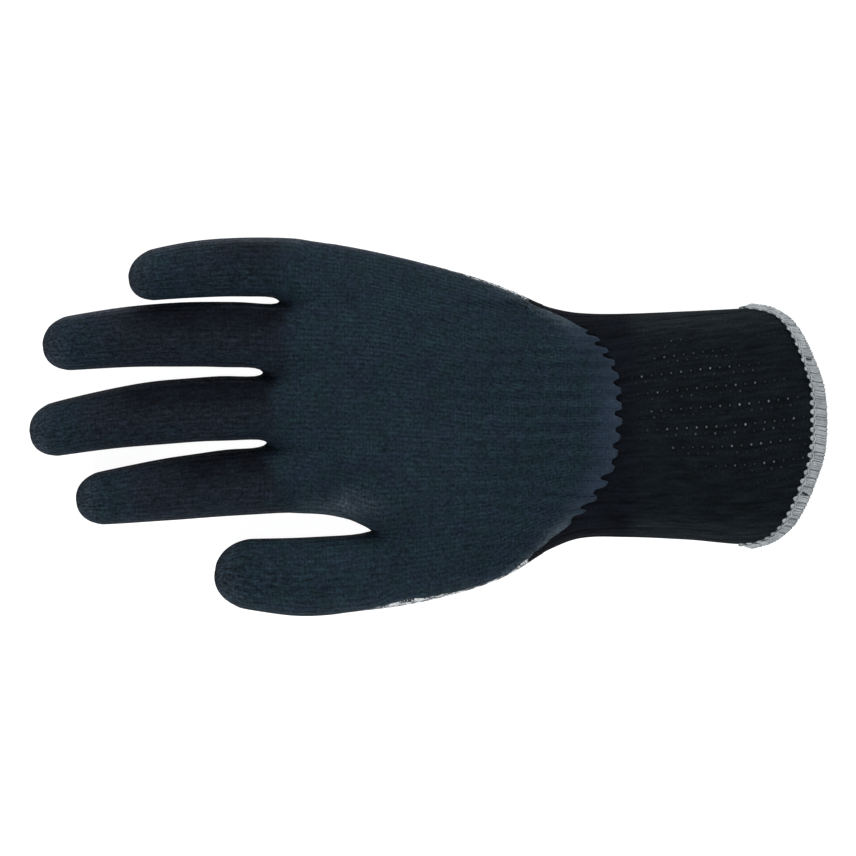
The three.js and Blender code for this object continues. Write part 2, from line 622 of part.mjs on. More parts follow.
function hemGeometry() {
  const skin = cuffSkin();
  const normals = skinNormals(skin);
  const lastRow = skin.points.length - CUFF_POINTS;
  const vertices = [];
  for (let k = 0; k < CUFF_POINTS; k++) {
    const [edge, before] = [lastRow + k, lastRow - CUFF_POINTS + k];
    const next = skin.points[lastRow + ((k + 1) % CUFF_POINTS)];
    const last = skin.points[lastRow + ((k + CUFF_POINTS - 1) % CUFF_POINTS)];
    const outOfMouth = last.clone().sub(next).cross(normals[edge]).normalize();
    if (outOfMouth.x < 0) outOfMouth.negate();
    const rowStep = skin.points[edge].distanceTo(skin.points[before]);
    const width = lerp(HEM_WIDTH_AT_FOLD, HEM_WIDTH, Math.abs(Math.sin((k / CUFF_POINTS) * 2 * Math.PI)));
    for (const { back, past, out } of HEM_SECTION) {
      const share = (back * width) / rowStep;
      const normal = normals[edge].clone().lerp(normals[before], share).normalize();
      const point = skin.points[edge].clone().lerp(skin.points[before], share);
      vertices.push(point.addScaledVector(outOfMouth, past).addScaledVector(normal, out));
    }
  }
  const sides = HEM_SECTION.length;
  const faces = [];
  for (let k = 0; k < CUFF_POINTS; k++)
    for (let s = 0; s < sides; s++) {
      const next = (k + 1) % CUFF_POINTS;
      const [a, b] = [k * sides + s, k * sides + ((s + 1) % sides)];
      const [c, d] = [next * sides + ((s + 1) % sides), next * sides + s];
      faces.push([a, c, d], [a, b, c]);
    }
  return geometryOf(vertices, faces);
}

function piece(name, geometry, color, roughness) {
  const mesh = new THREE.Mesh(geometry, new THREE.MeshStandardMaterial({ color, roughness, metalness: 0 }));
  mesh.name = name;
  return mesh;
}

const glove = new THREE.Group();
glove.name = "coated_work_glove";

const knitted = handSkin(KNIT_START);
glove.add(piece("knit_palm", palmGeometry(knitted), 0x4a4d50, 0.95));
knitted.tubes.forEach((tube, f) => {
  glove.add(piece(`knit_${FINGERS[f].name}`, tubeGeometry(knitted, tube), 0x4a4d50, 0.95));
});

const dipped = toSolid(wall(handSkin(COATING_START), COVER, GAP));
const coating = dipped.subtract(belowTheDip()).subtract(pastTheWrist());
glove.add(piece("palm_coating", toGeometry(coating), 0x25323c, 0.8));

glove.add(piece("knit_cuff", cuffGeometry(), 0x15191c, 0.95));
glove.add(piece("hem_overlock", hemGeometry(), 0x9a9fa2, 0.9));

export default glove;
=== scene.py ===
# %% [markdown]
# A knitted work glove with a rubber palm
#
# The glove lies on its back with the palm up. The real one is knitted in one go, fingers first, then the
# palm side is dipped in liquid rubber, and last the cuff's mouth is bound with thread. This lesson follows
# the same order: one smooth skin for the whole hand, a coating laid over it, a ribbed cuff, and the binding.
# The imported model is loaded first. It is the fixed frame that every piece has to fit.

import bpy
import numpy as np
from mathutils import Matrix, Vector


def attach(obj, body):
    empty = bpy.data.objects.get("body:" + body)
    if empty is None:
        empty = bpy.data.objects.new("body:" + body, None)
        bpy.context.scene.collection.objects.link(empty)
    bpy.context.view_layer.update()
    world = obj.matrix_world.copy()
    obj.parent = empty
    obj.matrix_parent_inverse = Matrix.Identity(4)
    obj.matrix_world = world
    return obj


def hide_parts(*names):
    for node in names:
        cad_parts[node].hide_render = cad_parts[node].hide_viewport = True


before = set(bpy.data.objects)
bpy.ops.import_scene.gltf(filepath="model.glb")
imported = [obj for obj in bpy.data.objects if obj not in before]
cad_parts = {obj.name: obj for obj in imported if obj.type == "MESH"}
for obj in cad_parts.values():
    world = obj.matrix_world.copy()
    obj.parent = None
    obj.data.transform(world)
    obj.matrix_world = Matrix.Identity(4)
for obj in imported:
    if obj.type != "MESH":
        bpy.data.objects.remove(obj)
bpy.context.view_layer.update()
MM = 0.001  # the tables below are in millimetres, the meshes in metres

# %% [markdown]
# The photograph looks straight down on the glove from far away, against plain white. A long lens from two
# and a half metres gives the same flat view. The floor is white card that also glows a little, as a light
# table does, so it stays white right up to the glove. Large soft lamps leave only broad, weak shading.

# %% Camera, floor and lights
PHOTO_SIDE = 856  # the photograph is square, this many pixels a side
PIXEL = 0.3137 * MM  # what one of its pixels covers at the height of the side folds
ORIGIN_PIXEL = (427.5, 426)  # where the frame's X = Y = 0 lies in it, counted from its upper left
VIEW_CENTRE = ((PHOTO_SIDE / 2 - ORIGIN_PIXEL[0]) * PIXEL, (ORIGIN_PIXEL[1] - PHOTO_SIDE / 2) * PIXEL)
FOLD_HEIGHT = 13 * MM
CAMERA_DISTANCE = 2.5

camera_data = bpy.data.cameras.new("camera")
camera_data.sensor_width = 36
camera_data.lens = camera_data.sensor_width * CAMERA_DISTANCE / (PHOTO_SIDE * PIXEL)
camera = bpy.data.objects.new("camera", camera_data)
camera.location = (*VIEW_CENTRE, FOLD_HEIGHT + CAMERA_DISTANCE)
bpy.context.collection.objects.link(camera)
bpy.context.scene.camera = camera
bpy.context.scene.view_settings.view_transform = "Standard"


def lamp(name, place, size, power):
    """A square area lamp of a given side, in metres, whose -Z axis points from its place to the glove."""
    data = bpy.data.lights.new(name, "AREA")
    data.size = size
    data.energy = power
    item = bpy.data.objects.new(name, data)
    item.location = place
    to_glove = Vector((0, 0, FOLD_HEIGHT)) - Vector(place)
    item.rotation_euler = to_glove.to_track_quat("-Z", "Y").to_euler()
    bpy.context.collection.objects.link(item)


lamp("key_softbox", (-0.1, -0.75, 1.2), 0.6, 17)
lamp("side_softbox", (0.2, 1.4, 0.4), 0.5, 18)
world = bpy.data.worlds.new("studio")
world.use_nodes = True
background = world.node_tree.nodes["Background"].inputs
background["Color"].default_value = (1, 1, 1, 1)
background["Strength"].default_value = 0.3
bpy.context.scene.world = world
print("camera lens in mm:", round(camera_data.lens, 1))

# %% [markdown]
# A mesh is a list of points and a list of faces. Each patch of the glove is worked out as a grid of points,
# a function of two parameters, and patches that share an edge give it the same points. So one helper cuts a
# grid into four-sided faces and another welds the patches where their points agree.


# %% Meshes from grids
def grid_faces(rows, columns):
    """Corner numbers of a grid's cells: (r, c), (r+1, c), (r+1, c+1), (r, c+1), counted row by row."""
    number = np.arange(rows * columns).reshape(rows, columns)
    return np.stack([number[:-1, :-1], number[1:, :-1], number[1:, 1:], number[:-1, 1:]], -1).reshape(-1, 4)


def weld(patches):
    """One mesh from patches of (points grid, pattern grid): equal points become one. The pattern, two
    numbers a point, stays with each face's corner, so it may jump where two patches meet."""
    points, faces, pattern = [], [], []
    count = 0
    for grid, marks in patches:
        rows, columns = grid.shape[:2]
        cells = grid_faces(rows, columns)
        points.append(grid.reshape(-1, 3))
        faces.append(cells + count)
        pattern.append(marks.reshape(-1, 2)[cells])
        count += rows * columns
    points, faces, pattern = np.vstack(points), np.vstack(faces), np.vstack(pattern)
    _, first, place = np.unique(points.round(5), axis=0, return_index=True, return_inverse=True)
    return points[first], place.reshape(-1)[faces], pattern


def make_object(name, points, faces, pattern=None, marks=None):
    """A mesh object from points in millimetres and faces that all have the same number of corners. The
    pattern becomes a UV map, and each of the marks becomes a number on every point."""
    mesh = bpy.data.meshes.new(name)
    corners = faces.shape[1]
    mesh.vertices.add(len(points))
    mesh.vertices.foreach_set("co", (points * MM).astype(np.float32).ravel())
    mesh.loops.add(faces.size)
    mesh.loops.foreach_set("vertex_index", faces.astype(np.int32).ravel())
    mesh.polygons.add(len(faces))
    mesh.polygons.foreach_set("loop_start", np.arange(0, faces.size, corners, dtype=np.int32))
    mesh.update(calc_edges=True)
    mesh.polygons.foreach_set("use_smooth", np.ones(len(faces), bool))
    if pattern is not None:
        layer = mesh.uv_layers.new(name="knit")
        layer.uv.foreach_set("vector", pattern.astype(np.float32).ravel())
    for mark, values in (marks or {}).items():
        mesh.attributes.new(mark, "FLOAT", "POINT").data.foreach_set("value", values.astype(np.float32))
    mesh.validate()
    item = bpy.data.objects.new(name, mesh)
    bpy.context.collection.objects.link(item)
    return item


print("a grid of 3 by 4 points has", len(grid_faces(3, 4)), "cells")

# %% [markdown]
# Blender's Subdivision Surface can round a coarse cage, so it does that here, and numpy reads its result
# back. Each point also needs the direction that leads out of the surface, because every layer of the glove,
# the yarn, the rubber and the inside, is the same skin moved that way by its own amount.


# %% A smooth skin from a cage
def read_mesh(mesh):
    """A mesh's points in millimetres, its four-sided faces, and its UV map as a pattern."""
    points = np.empty(len(mesh.vertices) * 3, np.float32)
    mesh.vertices.foreach_get("co", points)
    faces = np.empty(len(mesh.loops), np.int32)
    mesh.loops.foreach_get("vertex_index", faces)
    pattern = np.empty(len(mesh.loops) * 2, np.float32)
    mesh.uv_layers[0].uv.foreach_get("vector", pattern)
    return points.reshape(-1, 3).astype(float) / MM, faces.reshape(-1, 4), pattern.reshape(-1, 4, 2)


def smoothed(points, faces, pattern, levels):
    """Points, faces and pattern of the surface that Subdivision Surface makes from a coarse mesh."""
    item = make_object("cage", points, faces, pattern)
    modifier = item.modifiers.new("smooth", "SUBSURF")
    modifier.levels = modifier.render_levels = levels
    evaluated = item.evaluated_get(bpy.context.evaluated_depsgraph_get())
    result = read_mesh(evaluated.to_mesh())
    evaluated.to_mesh_clear()
    bpy.data.meshes.remove(item.data)
    return result


def unit(vectors):
    """Vectors made one long: each divided by its length."""
    return vectors / np.linalg.norm(vectors, axis=-1, keepdims=True)


def point_normals(points, faces):
    """The direction out of the surface at each point: the mean of the cross products of its faces'
    diagonals, made one long."""
    a, b, c, d = np.moveaxis(points[faces], 1, 0)
    across = np.cross(c - a, d - b)
    normals = np.zeros_like(points)
    for k in range(4):
        np.add.at(normals, faces[:, k], across)
    return unit(normals)


print("a vector made one long:", unit(np.array([3.0, 4.0])))

# %% [markdown]
# The hand's skin is laid out like the knit. Columns run from the cuff to the fingertips and rings run round
# the hand. On the palm the columns fall into five groups, one for each finger, with a valley between two
# groups; at its web each group closes to a tube. The numbers are the glove's own: its outline and height at
# a few stations along the length, and the slits between the fingers.
#
# X runs along the glove, from the middle fingertip below nought to the mouth above it, Y from the thumb to
# the little finger, and Z up.

# %% The palm's sizes
KNIT = 1.2  # thickness of the knit
COVER = 1.3  # how far the coating's face stands off the skin
CUFF_JOINT = 36.0  # the X at which the hand's fine knit turns into the cuff's rib
CUFF_BLEND = 16.0  # over this length past it the glove's width comes to that of the cuff alone
COATING_START = 66.0  # the skin is laid out from here
THUMB_START = 3.0  # from here on the thumb begins to form
KNUCKLES_START = -8.0  # and the palm to narrow to the four fingers
THUMB_CROTCH = -19.0
SECTION_POWER = 2.3  # 2 is an ellipse; more is a squarer section
FLOOR_PRESS = 2.0  # how far the back would bulge below the surface that flattens it
MOUTH_CORNER = 101.5  # the X of the mouth's edge at the two side folds
MOUTH_BULGE_PALM = 22.8  # how much further out it lies in the middle of the palm side
MOUTH_BULGE_BACK = 18.5  # and of the back
MOUTH_LIFT = 1.4  # how high the back's edge lifts off the table
LIFT_START, LIFT_END = 80.0, 105.0


def table(names, rows):
    """A table of named columns, with its rows in order of the first one."""
    columns = np.array(sorted(rows), float).T
    return dict(zip(names.split(), columns))


PALM_STATIONS = table("x little thumb crown side", [
    (124, 38.6, -36.0, 19.0, 9.0),
    (100, 37.1, -37.2, 22.5, 10.0),
    (82, 36.1, -35.8, 25.0, 11.5),
    (62, 35.3, -34.9, 26.0, 12.0),
    (48, 35.6, -35.3, 27.0, 12.5),
    (38, 37.8, -39.3, 28.0, 13.0),
    (26, 42.9, -46.6, 29.0, 13.5),
    (10, 48.3, -52.5, 29.5, 14.0),
    (-8, 52.8, -56.6, 28.5, 14.0),
    (-19, 55.2, -58.0, 27.5, 14.0),
])
MOUTH_SHARES = table("x share", [  # of the mouth's bulge, for x the sine of the turn from the side fold
    (0, 0),
    (0.1, 0.09),
    (0.25, 0.27),
    (0.48, 0.49),
    (0.62, 0.605),
    (0.8, 0.757),
    (0.9, 0.858),
    (0.97, 0.964),
    (1, 1),
])
KNUCKLE_STATIONS = table("x little index crown side", [
    (-19, 55.2, -31.7, 27.5, 14.0),
    (-24, 56.2, -29.5, 27.0, 13.8),
    (-32, 57.3, -27.9, 26.0, 13.6),
    (-41, 58.7, -27.3, 24.5, 13.5),
    (-53, 59.5, -27.3, 23.0, 13.5),
])
PALM_RELIEF = {  # x, y, reach, height
    "thumb pad": (12, -31, 19, 2.4),
    "heel pad": (22, 24, 18, 1.2),
    "hollow": (-4, 4, 17, -2.2),
}
SLITS = {  # where a slit ends at its web, its width over the coating, and its Y at the thumb's crotch
    "web_x": np.array([-48.1, -53.2, -52.0, -19.0]),
    "web_y": np.array([39.2, 16.8, -5.3, -32.3]),
    "width": np.array([1.5, 1.8, 1.6, 1.3]),
    "crotch_y": np.array([37.6, 16.4, -7.6, -32.3]),
}
LITTLE_ROOT_X, INDEX_ROOT_X, THUMB_ROOT_X = -44.0, -48.0, -21.0
print("palm stations from X =", PALM_STATIONS["x"][0], "to", PALM_STATIONS["x"][-1])

# %% [markdown]
# A finger needs few numbers: where its tip and its middle lie, how wide it is there, and how high its axis
# runs. The fingers rise a little towards their tips, as they do on a hand that lies open on a table.

# %% The fingers' sizes
NAMES = ["little", "ring", "middle", "index", "thumb"]
FINGERS = {  # over the coating in plan, then heights of the axis and half depths of the knit
    "tip_x": [-93.4, -120.3, -124.4, -109.9, -66.4],
    "tip_y": [46.1, 24.8, -2.6, -23.6, -44.9],
    "mid_y": [49.5, 28.5, 3.8, -19.6, -47.2],
    "mid_width": [18.2, 19.8, 19.8, 19.8, 24.4],
    "tip_width": [15.5, 16.4, 16.1, 15.6, 20.3],
    "tip_slant": [0.12, 0.06, 0.06, 0.03, 0.03],
    "root_z": [11.5, 12.0, 12.0, 12.0, 14.0],
    "tip_z": [17.5, 19.0, 19.5, 18.5, 18.0],
    "root_high": [9.4, 10.2, 10.4, 10.0, 10.4],
    "mid_high": [7.2, 7.9, 8.0, 7.8, 9.0],
}
AXIS_RISE = 1.7  # 1 would raise a finger evenly; more raises it nearer to its tip
WEB_SADDLE = 3.0  # how far a root's ring curls back over palm and back
TIP_POWER = 2.3  # 2 rounds a fingertip like an ellipse; more is blunter
TIP_REACH = 1.2  # over what length the tip rounds off, as a share of its half width
ROOT_FADE = 1 / 3  # over this share of a finger the lean of its root fades
INDEX, THUMB = 3, 4
print("fingers:", ", ".join(NAMES))

# %% [markdown]
# Between two rows of a station table the glove's form has to run on smoothly, so a table is read by a curve
# through its rows. Three small curves serve all through this lesson: one eases, one mixes and one bows.


# %% Curves
def smooth(value):
    """Eases from 0 to 1: three times the square less twice the cube."""
    t = np.clip(value, 0, 1)
    return t * t * (3 - 2 * t)


def lerp(a, b, share):
    """The mean of a and b, with that share of b."""
    return a + (b - a) * share


def bow(start, middle, end, t):
    """The parabola that passes the start at t = 0, the middle at a half and the end at 1."""
    return start * (1 - t) * (1 - 2 * t) + 4 * middle * t * (1 - t) + end * t * (2 * t - 1)


def at_station(stations, x, column):
    """Reads a column at x on a cubic that passes through the stations, with the slope at each one taken
    from its two neighbours."""
    knots, values = stations["x"], stations[column]
    last = len(knots) - 1
    index = np.arange(last + 1)
    before, after = np.maximum(index - 1, 0), np.minimum(index + 1, last)
    slope = (values[after] - values[before]) / (knots[after] - knots[before])
    place = np.clip(x, knots[0], knots[-1])
    i = np.clip(np.searchsorted(knots, place) - 1, 0, last - 1)
    span = knots[i + 1] - knots[i]
    t = (place - knots[i]) / span
    stay, leave = 2 * t**3 - 3 * t**2 + 1, 3 * t**2 - 2 * t**3
    bend = slope[i] * (t**3 - 2 * t**2 + t) + slope[i + 1] * (t**3 - t**2)
    return values[i] * stay + values[i + 1] * leave + span * bend


print("crown of the palm at X = 10:", round(float(at_station(PALM_STATIONS, np.array(10.0), "crown")), 1))

# %% [markdown]
# From the tables come the section's edges, its crown and its side fold, and a superellipse between them
# gives the height of the palm and of the back. The back is pressed flat where the glove rests on its table.


# %% The palm's shape
def section_at(x, knuckles=False):
    """The section at x: its left and right edges under the coating, crown and side fold."""
    stations, right = (KNUCKLE_STATIONS, "index") if knuckles else (PALM_STATIONS, "thumb")
    inset = COVER * (1 - smooth((x - CUFF_JOINT) / CUFF_BLEND))
    return {
        "left": at_station(stations, x, "little") - inset,
        "right": at_station(stations, x, right) + inset,
        "crown": at_station(stations, x, "crown") - COVER,
        "side": at_station(stations, x, "side"),
    }


def slab_height(x, y, on_palm, section):
    """Height at (x, y) of the palm or the back. With s the distance from the middle as a share of the half
    width, the bow is (1 - s^p)^(1/p), and the palm rises from the side fold by the bow."""
    middle = (section["left"] + section["right"]) / 2
    half = (section["left"] - section["right"]) / 2
    s = np.minimum(np.abs(y - middle) / half, 1)
    bow = (1 - s**SECTION_POWER) ** (1 / SECTION_POWER)
    if not on_palm:
        lift = MOUTH_LIFT * smooth((x - LIFT_START) / (LIFT_END - LIFT_START))
        return np.maximum(lift, section["side"] - (section["side"] + FLOOR_PRESS) * bow)
    relief = sum(
        height * np.exp(-(((x - pad_x) ** 2 + (y - pad_y) ** 2) / reach**2))
        for pad_x, pad_y, reach, height in PALM_RELIEF.values()
    )
    return section["side"] + (section["crown"] - section["side"]) * bow + relief * bow


def hand_height(x, y, on_palm, towards_thumb):
    """Height of the hand before the fingers form. Nearing the thumb's crotch the palm turns into the
    narrower one that carries four fingers."""
    palm = slab_height(x, y, on_palm, section_at(x))
    if towards_thumb:
        return palm
    crotch = np.full_like(x, THUMB_CROTCH)
    knuckles = slab_height(x, y, on_palm, section_at(np.minimum(x, crotch), knuckles=True))
    return lerp(palm, knuckles, smooth((KNUCKLES_START - x) / (KNUCKLES_START - THUMB_CROTCH)))


def group_edges(x):
    """The Y of the six lines that bound the five groups of columns at x."""
    crotch = section_at(np.array(THUMB_CROTCH))
    wide, narrow = section_at(x), section_at(x, knuckles=True)
    towards_wrist = smooth((x - THUMB_CROTCH) / (COATING_START - THUMB_CROTCH))
    towards_web = np.clip((THUMB_CROTCH - x) / (THUMB_CROTCH - SLITS["web_x"][1]), 0, 1)
    past = x < THUMB_CROTCH
    edges = [np.where(past, narrow["left"], wide["left"])]
    for i in range(4):
        share = (crotch["left"] - SLITS["crotch_y"][i]) / (crotch["left"] - crotch["right"])
        on_palm = lerp(wide["left"], wide["right"], lerp(share, (i + 1) / 5, towards_wrist))
        on_knuckles = lerp(SLITS["crotch_y"][i], SLITS["web_y"][i], towards_web)
        edges.append(np.where(past, on_knuckles, on_palm))
    outer = np.where(past, narrow["right"], wide["right"])
    edges[INDEX + 1] = np.where(past, narrow["right"], edges[INDEX + 1])
    return [*edges, outer]


print("section at x = 10:", {k: round(float(v), 1) for k, v in section_at(np.array(10.0)).items()})

# %% [markdown]
# A finger is a stack of rings across a gently bowed axis. Its first ring leans with the two webs beside it
# and curls back over palm and back, because a web sits further out than the knuckle. Towards the tip the
# rings shrink like slices of a ball.


# %% The fingers' shape
def level_across(along):
    """The level direction across another one: (y, -x, 0), made one long."""
    return unit(np.array([along[1], -along[0], 0.0]))


def ring_points(centre, along, half, high, slant, saddle, degrees):
    """Points of an ellipse across an axis: centre - cos(a) half across + sin(a) high up. The slant leans it
    in plan and the saddle carries its palm side and back towards the wrist."""
    a = np.radians(degrees)
    across = level_across(along)
    up = np.cross(across, along)
    side, rise = -np.cos(a) * half, np.sin(a)
    points = centre + side[:, None] * across + (rise * high)[:, None] * up
    points[:, 0] += side * slant + np.sqrt(np.abs(rise)) * saddle
    return points


def root_of(f):
    """The ring where finger f leaves the palm, between the slits beside it or the hand's outer edge."""
    left_x, left = LITTLE_ROOT_X, section_at(np.array(LITTLE_ROOT_X), knuckles=True)["left"]
    if f > 0:
        left_x, left = SLITS["web_x"][f - 1], SLITS["web_y"][f - 1] - SLITS["width"][f - 1] / 2 - COVER
    if f < INDEX:
        right_x, right = SLITS["web_x"][f], SLITS["web_y"][f] + SLITS["width"][f] / 2 + COVER
    elif f == INDEX:
        right_x, right = INDEX_ROOT_X, section_at(np.array(INDEX_ROOT_X), knuckles=True)["right"]
    else:
        right_x, right = THUMB_ROOT_X, section_at(np.array(THUMB_CROTCH))["right"]
    return {
        "centre": np.array([(left_x + right_x) / 2 + COVER, (left + right) / 2, FINGERS["root_z"][f]]),
        "along": np.array([-1.0, 0.0, 0.0]),
        "half": float(left - right) / 2,
        "high": FINGERS["root_high"][f],
        "slant": float(left_x - right_x) / float(left - right),
        "saddle": WEB_SADDLE,
    }


def finger_ring(f, from_tip):
    """The ring of finger f at a distance back from its tip. The axis bows through its middle point, and the
    last stretch is rounded: a ring at d of the reach R keeps (1 - (1 - d/R)^p)^(1/p) of its size."""
    root = root_of(f)
    x, y, z = root["centre"]
    size = {name: column[f] for name, column in FINGERS.items()}
    tip = np.array([size["tip_x"] + COVER, size["tip_y"], size["tip_z"]])
    length = x - tip[0]
    mid_half, radius = size["mid_width"] / 2 - COVER, size["tip_width"] / 2 - COVER
    reach = TIP_REACH * radius

    def centre_at(t):
        """The axis at a share t of the finger's length."""
        risen = lerp(z, tip[2], max(t, 0) ** AXIS_RISE)
        return np.array([lerp(x, tip[0], t), bow(y, size["mid_y"], tip[1], t), risen])

    def size_at(t, at_root, halfway, at_tip):
        """A size there, from its values at the root, halfway and at the tip."""
        return lerp(at_root, halfway, smooth(2 * t)) if t < 0.5 else lerp(halfway, at_tip, 2 * t - 1)

    t = 1 - from_tip / length
    rounded = (1 - max(0, 1 - from_tip / reach) ** TIP_POWER) ** (1 / TIP_POWER)
    fade = max(0, 1 - t / ROOT_FADE)
    tip_high = radius * size["mid_high"] / mid_half
    return {
        "centre": centre_at(t),
        "along": unit(centre_at(t + 0.01) - centre_at(t - 0.01)),
        "half": size_at(t, root["half"], mid_half, radius) * rounded,
        "high": size_at(t, root["high"], size["mid_high"], tip_high) * rounded,
        "slant": root["slant"] * fade + size["tip_slant"] * smooth(1 - from_tip / (3 * reach)),
        "saddle": root["saddle"] * fade,
    }, length, reach


print("index finger's root half width:", round(root_of(INDEX)["half"], 2))

# %% [markdown]
# Now the cage: a coarse mesh of the whole hand that Subdivision Surface will turn into the skin. Every
# column is one wale wide (a wale is one lengthwise row of stitches), which makes a wale 1.7 mm on a finger,
# as on the real glove. The pattern map counts wales across and courses (stitches) along, so a stitch can be
# drawn anywhere later.

# %% The cage
COLUMNS = 15  # over the top of a finger
TOP_ANGLES = np.linspace(180, 0, COLUMNS + 2)[1:-1]
COURSE = 1.1  # length of a stitch
PALM_ROWS = np.array([66.0, 56.0, 46.0, 36.0, 25.0, 13.5, 2.0, -10.0])
KNUCKLE_SHARES = np.array([0, 0.3, 0.57, 0.8, 1.0])  # rows between the thumb's crotch and the webs
KNUCKLE_FORMS = np.array([0, 0.03, 0.14, 0.42, 1.0])  # and how far the fingers have formed there
KNUCKLE_ROWS = len(KNUCKLE_SHARES) - 1
THUMB_LATE = 6.0  # above 1, the thumb forms nearer to its crotch
CROTCH_ROW = len(PALM_ROWS)
WEB_ROW = CROTCH_ROW + KNUCKLE_ROWS


def palm_share(f):
    """Finger f's share of the palm: its grids of points on the palm side and the back, and the lines of
    points on the hand's outer sides. Towards the root, the slab's points turn into the root's ring."""
    root_row = CROTCH_ROW if f == THUMB else WEB_ROW
    rows = np.arange(root_row + 1)
    root = root_of(f)
    past_crotch = KNUCKLE_SHARES[np.maximum(0, rows - CROTCH_ROW)]
    row_x = np.append(PALM_ROWS, [THUMB_CROTCH + COVER] * (root_row + 1 - CROTCH_ROW))
    forms = smooth((THUMB_START - row_x) / (THUMB_START - THUMB_CROTCH - COVER)) ** THUMB_LATE
    formed = (forms if f == THUMB else KNUCKLE_FORMS[np.maximum(0, rows - CROTCH_ROW)])[:, None]
    web_x = np.array([LITTLE_ROOT_X, *SLITS["web_x"][:3], INDEX_ROOT_X, INDEX_ROOT_X])

    def x_at(share):
        """X on each row, at a share of the way across the finger's columns."""
        towards = lerp(THUMB_CROTCH, lerp(web_x[f], web_x[f + 1], share), past_crotch[:, None]) + COVER
        return np.where(past_crotch[:, None] > 0, towards, row_x[:, None] + 0 * share)

    share = (np.arange(COLUMNS) + 0.5) / COLUMNS
    x = x_at(share[None, :])
    edges = group_edges(x)
    left, right = edges[f], edges[f + 1]
    y = lerp(left, right, share)
    axis_y = lerp((left + right) / 2, root["centre"][1], formed)
    half = lerp((left - right) / 2, root["half"], formed)
    sides = {}
    for side, sign in (("top", 1), ("bottom", -1)):
        a = np.radians(TOP_ANGLES * sign)
        flat = np.stack([x, y, hand_height(x, y, sign > 0, f == THUMB)], -1)
        ringed_z = root["centre"][2] + np.sin(a) * root["high"] + 0 * x
        ringed = np.stack([x, axis_y - np.cos(a) * half, ringed_z], -1)
        points = lerp(flat, ringed, formed[..., None])
        points[root_row] = ring_points(**root, degrees=TOP_ANGLES * sign)
        sides[side] = points
    for side, share_x, degrees in (("left", 0.0, 180.0), ("right", 1.0, 0.0)):
        x = x_at(np.array([[share_x]]))[:, 0]
        wide, narrow = section_at(x), section_at(x, knuckles=True)
        past = (x < THUMB_CROTCH) & (f != THUMB)
        y = np.where(past, narrow[side], wide[side])
        z = lerp(np.where(past, narrow["side"], wide["side"]), root["centre"][2], formed[:, 0])
        line = np.stack([x, y, z], -1)
        line[root_row] = ring_points(**root, degrees=np.array([degrees]))[0]
        if f == INDEX and side == "right":
            web_y = SLITS["web_y"][INDEX] + SLITS["width"][INDEX] / 2 + COVER
            line[CROTCH_ROW] = (THUMB_CROTCH + COVER, web_y, FINGERS["root_z"][THUMB])
        sides[side] = line
    return sides


print("rows on the palm:", CROTCH_ROW, "and between the crotch and the webs:", KNUCKLE_ROWS)

# %% [markdown]
# Past its root a finger is a tube of such rings, about 10 mm apart and closer round the tip, where the
# surface turns fast. Its last ring is closed across a short middle line, so no point there has too many
# neighbours.


# %% A finger's tube
RING_PITCH = 10.5  # about how far apart the rings lie
TIP_RINGS = (0.72, 0.45, 0.24, 0.1, 0.03)  # how far from the tip the last rings lie, in reaches of the tip
TIP_CAP = 0.14  # half the length of the tip's middle line, in the same measure


def tube(f):
    """The rings of finger f from its root to its tip, each as a closed row of points, the points that close
    the tip, and the length of the surface from the root to each ring."""
    degrees = np.concatenate([[180.0], TOP_ANGLES, [0.0], -TOP_ANGLES[::-1], [180.0]])
    root = root_of(f)
    _, length, reach = finger_ring(f, 0)
    straight = length - reach
    count = round(straight / RING_PITCH)
    back = [length - straight * k / count for k in range(1, count + 1)] + [t * reach for t in TIP_RINGS]
    rings = [ring_points(**root, degrees=degrees)]
    rings += [ring_points(**finger_ring(f, d)[0], degrees=degrees) for d in back]
    to_pole = np.array([reach * np.arccos(max(1 - d / reach, 0)) + max(d - reach, 0) for d in back])
    run = straight + reach * np.pi / 2
    distance = np.concatenate([[0], run - to_pole, [run]])
    end = finger_ring(f, 0)[0]
    spread = np.linspace(1, -1, COLUMNS)[1:-1] * TIP_CAP * reach
    cap = end["centre"] + spread[:, None] * level_across(end["along"])
    return np.array(rings), cap, distance


print("length along the middle finger in mm:", round(tube(2)[2][-1], 1))

# %% [markdown]
# Each patch is a grid of points with a grid of wales and courses beside it. The palm and back of a finger's
# share, its tube and its tip are four patches; strips close the valleys between fingers, the webs and the
# hand's two outer sides. Neighbouring patches use the same points, so the welded cage has one hole only, at
# the wrist.


# %% Weld the cage
def pattern_of(points, wales, courses):
    """A pattern grid for a grid of points: wales by column and courses by row, or by a grid of either."""
    shape = points.shape[:2]
    courses = np.reshape(courses, (-1, 1)) if np.ndim(courses) == 1 else courses
    return np.stack([np.broadcast_to(wales, shape), np.broadcast_to(courses, shape)], -1)


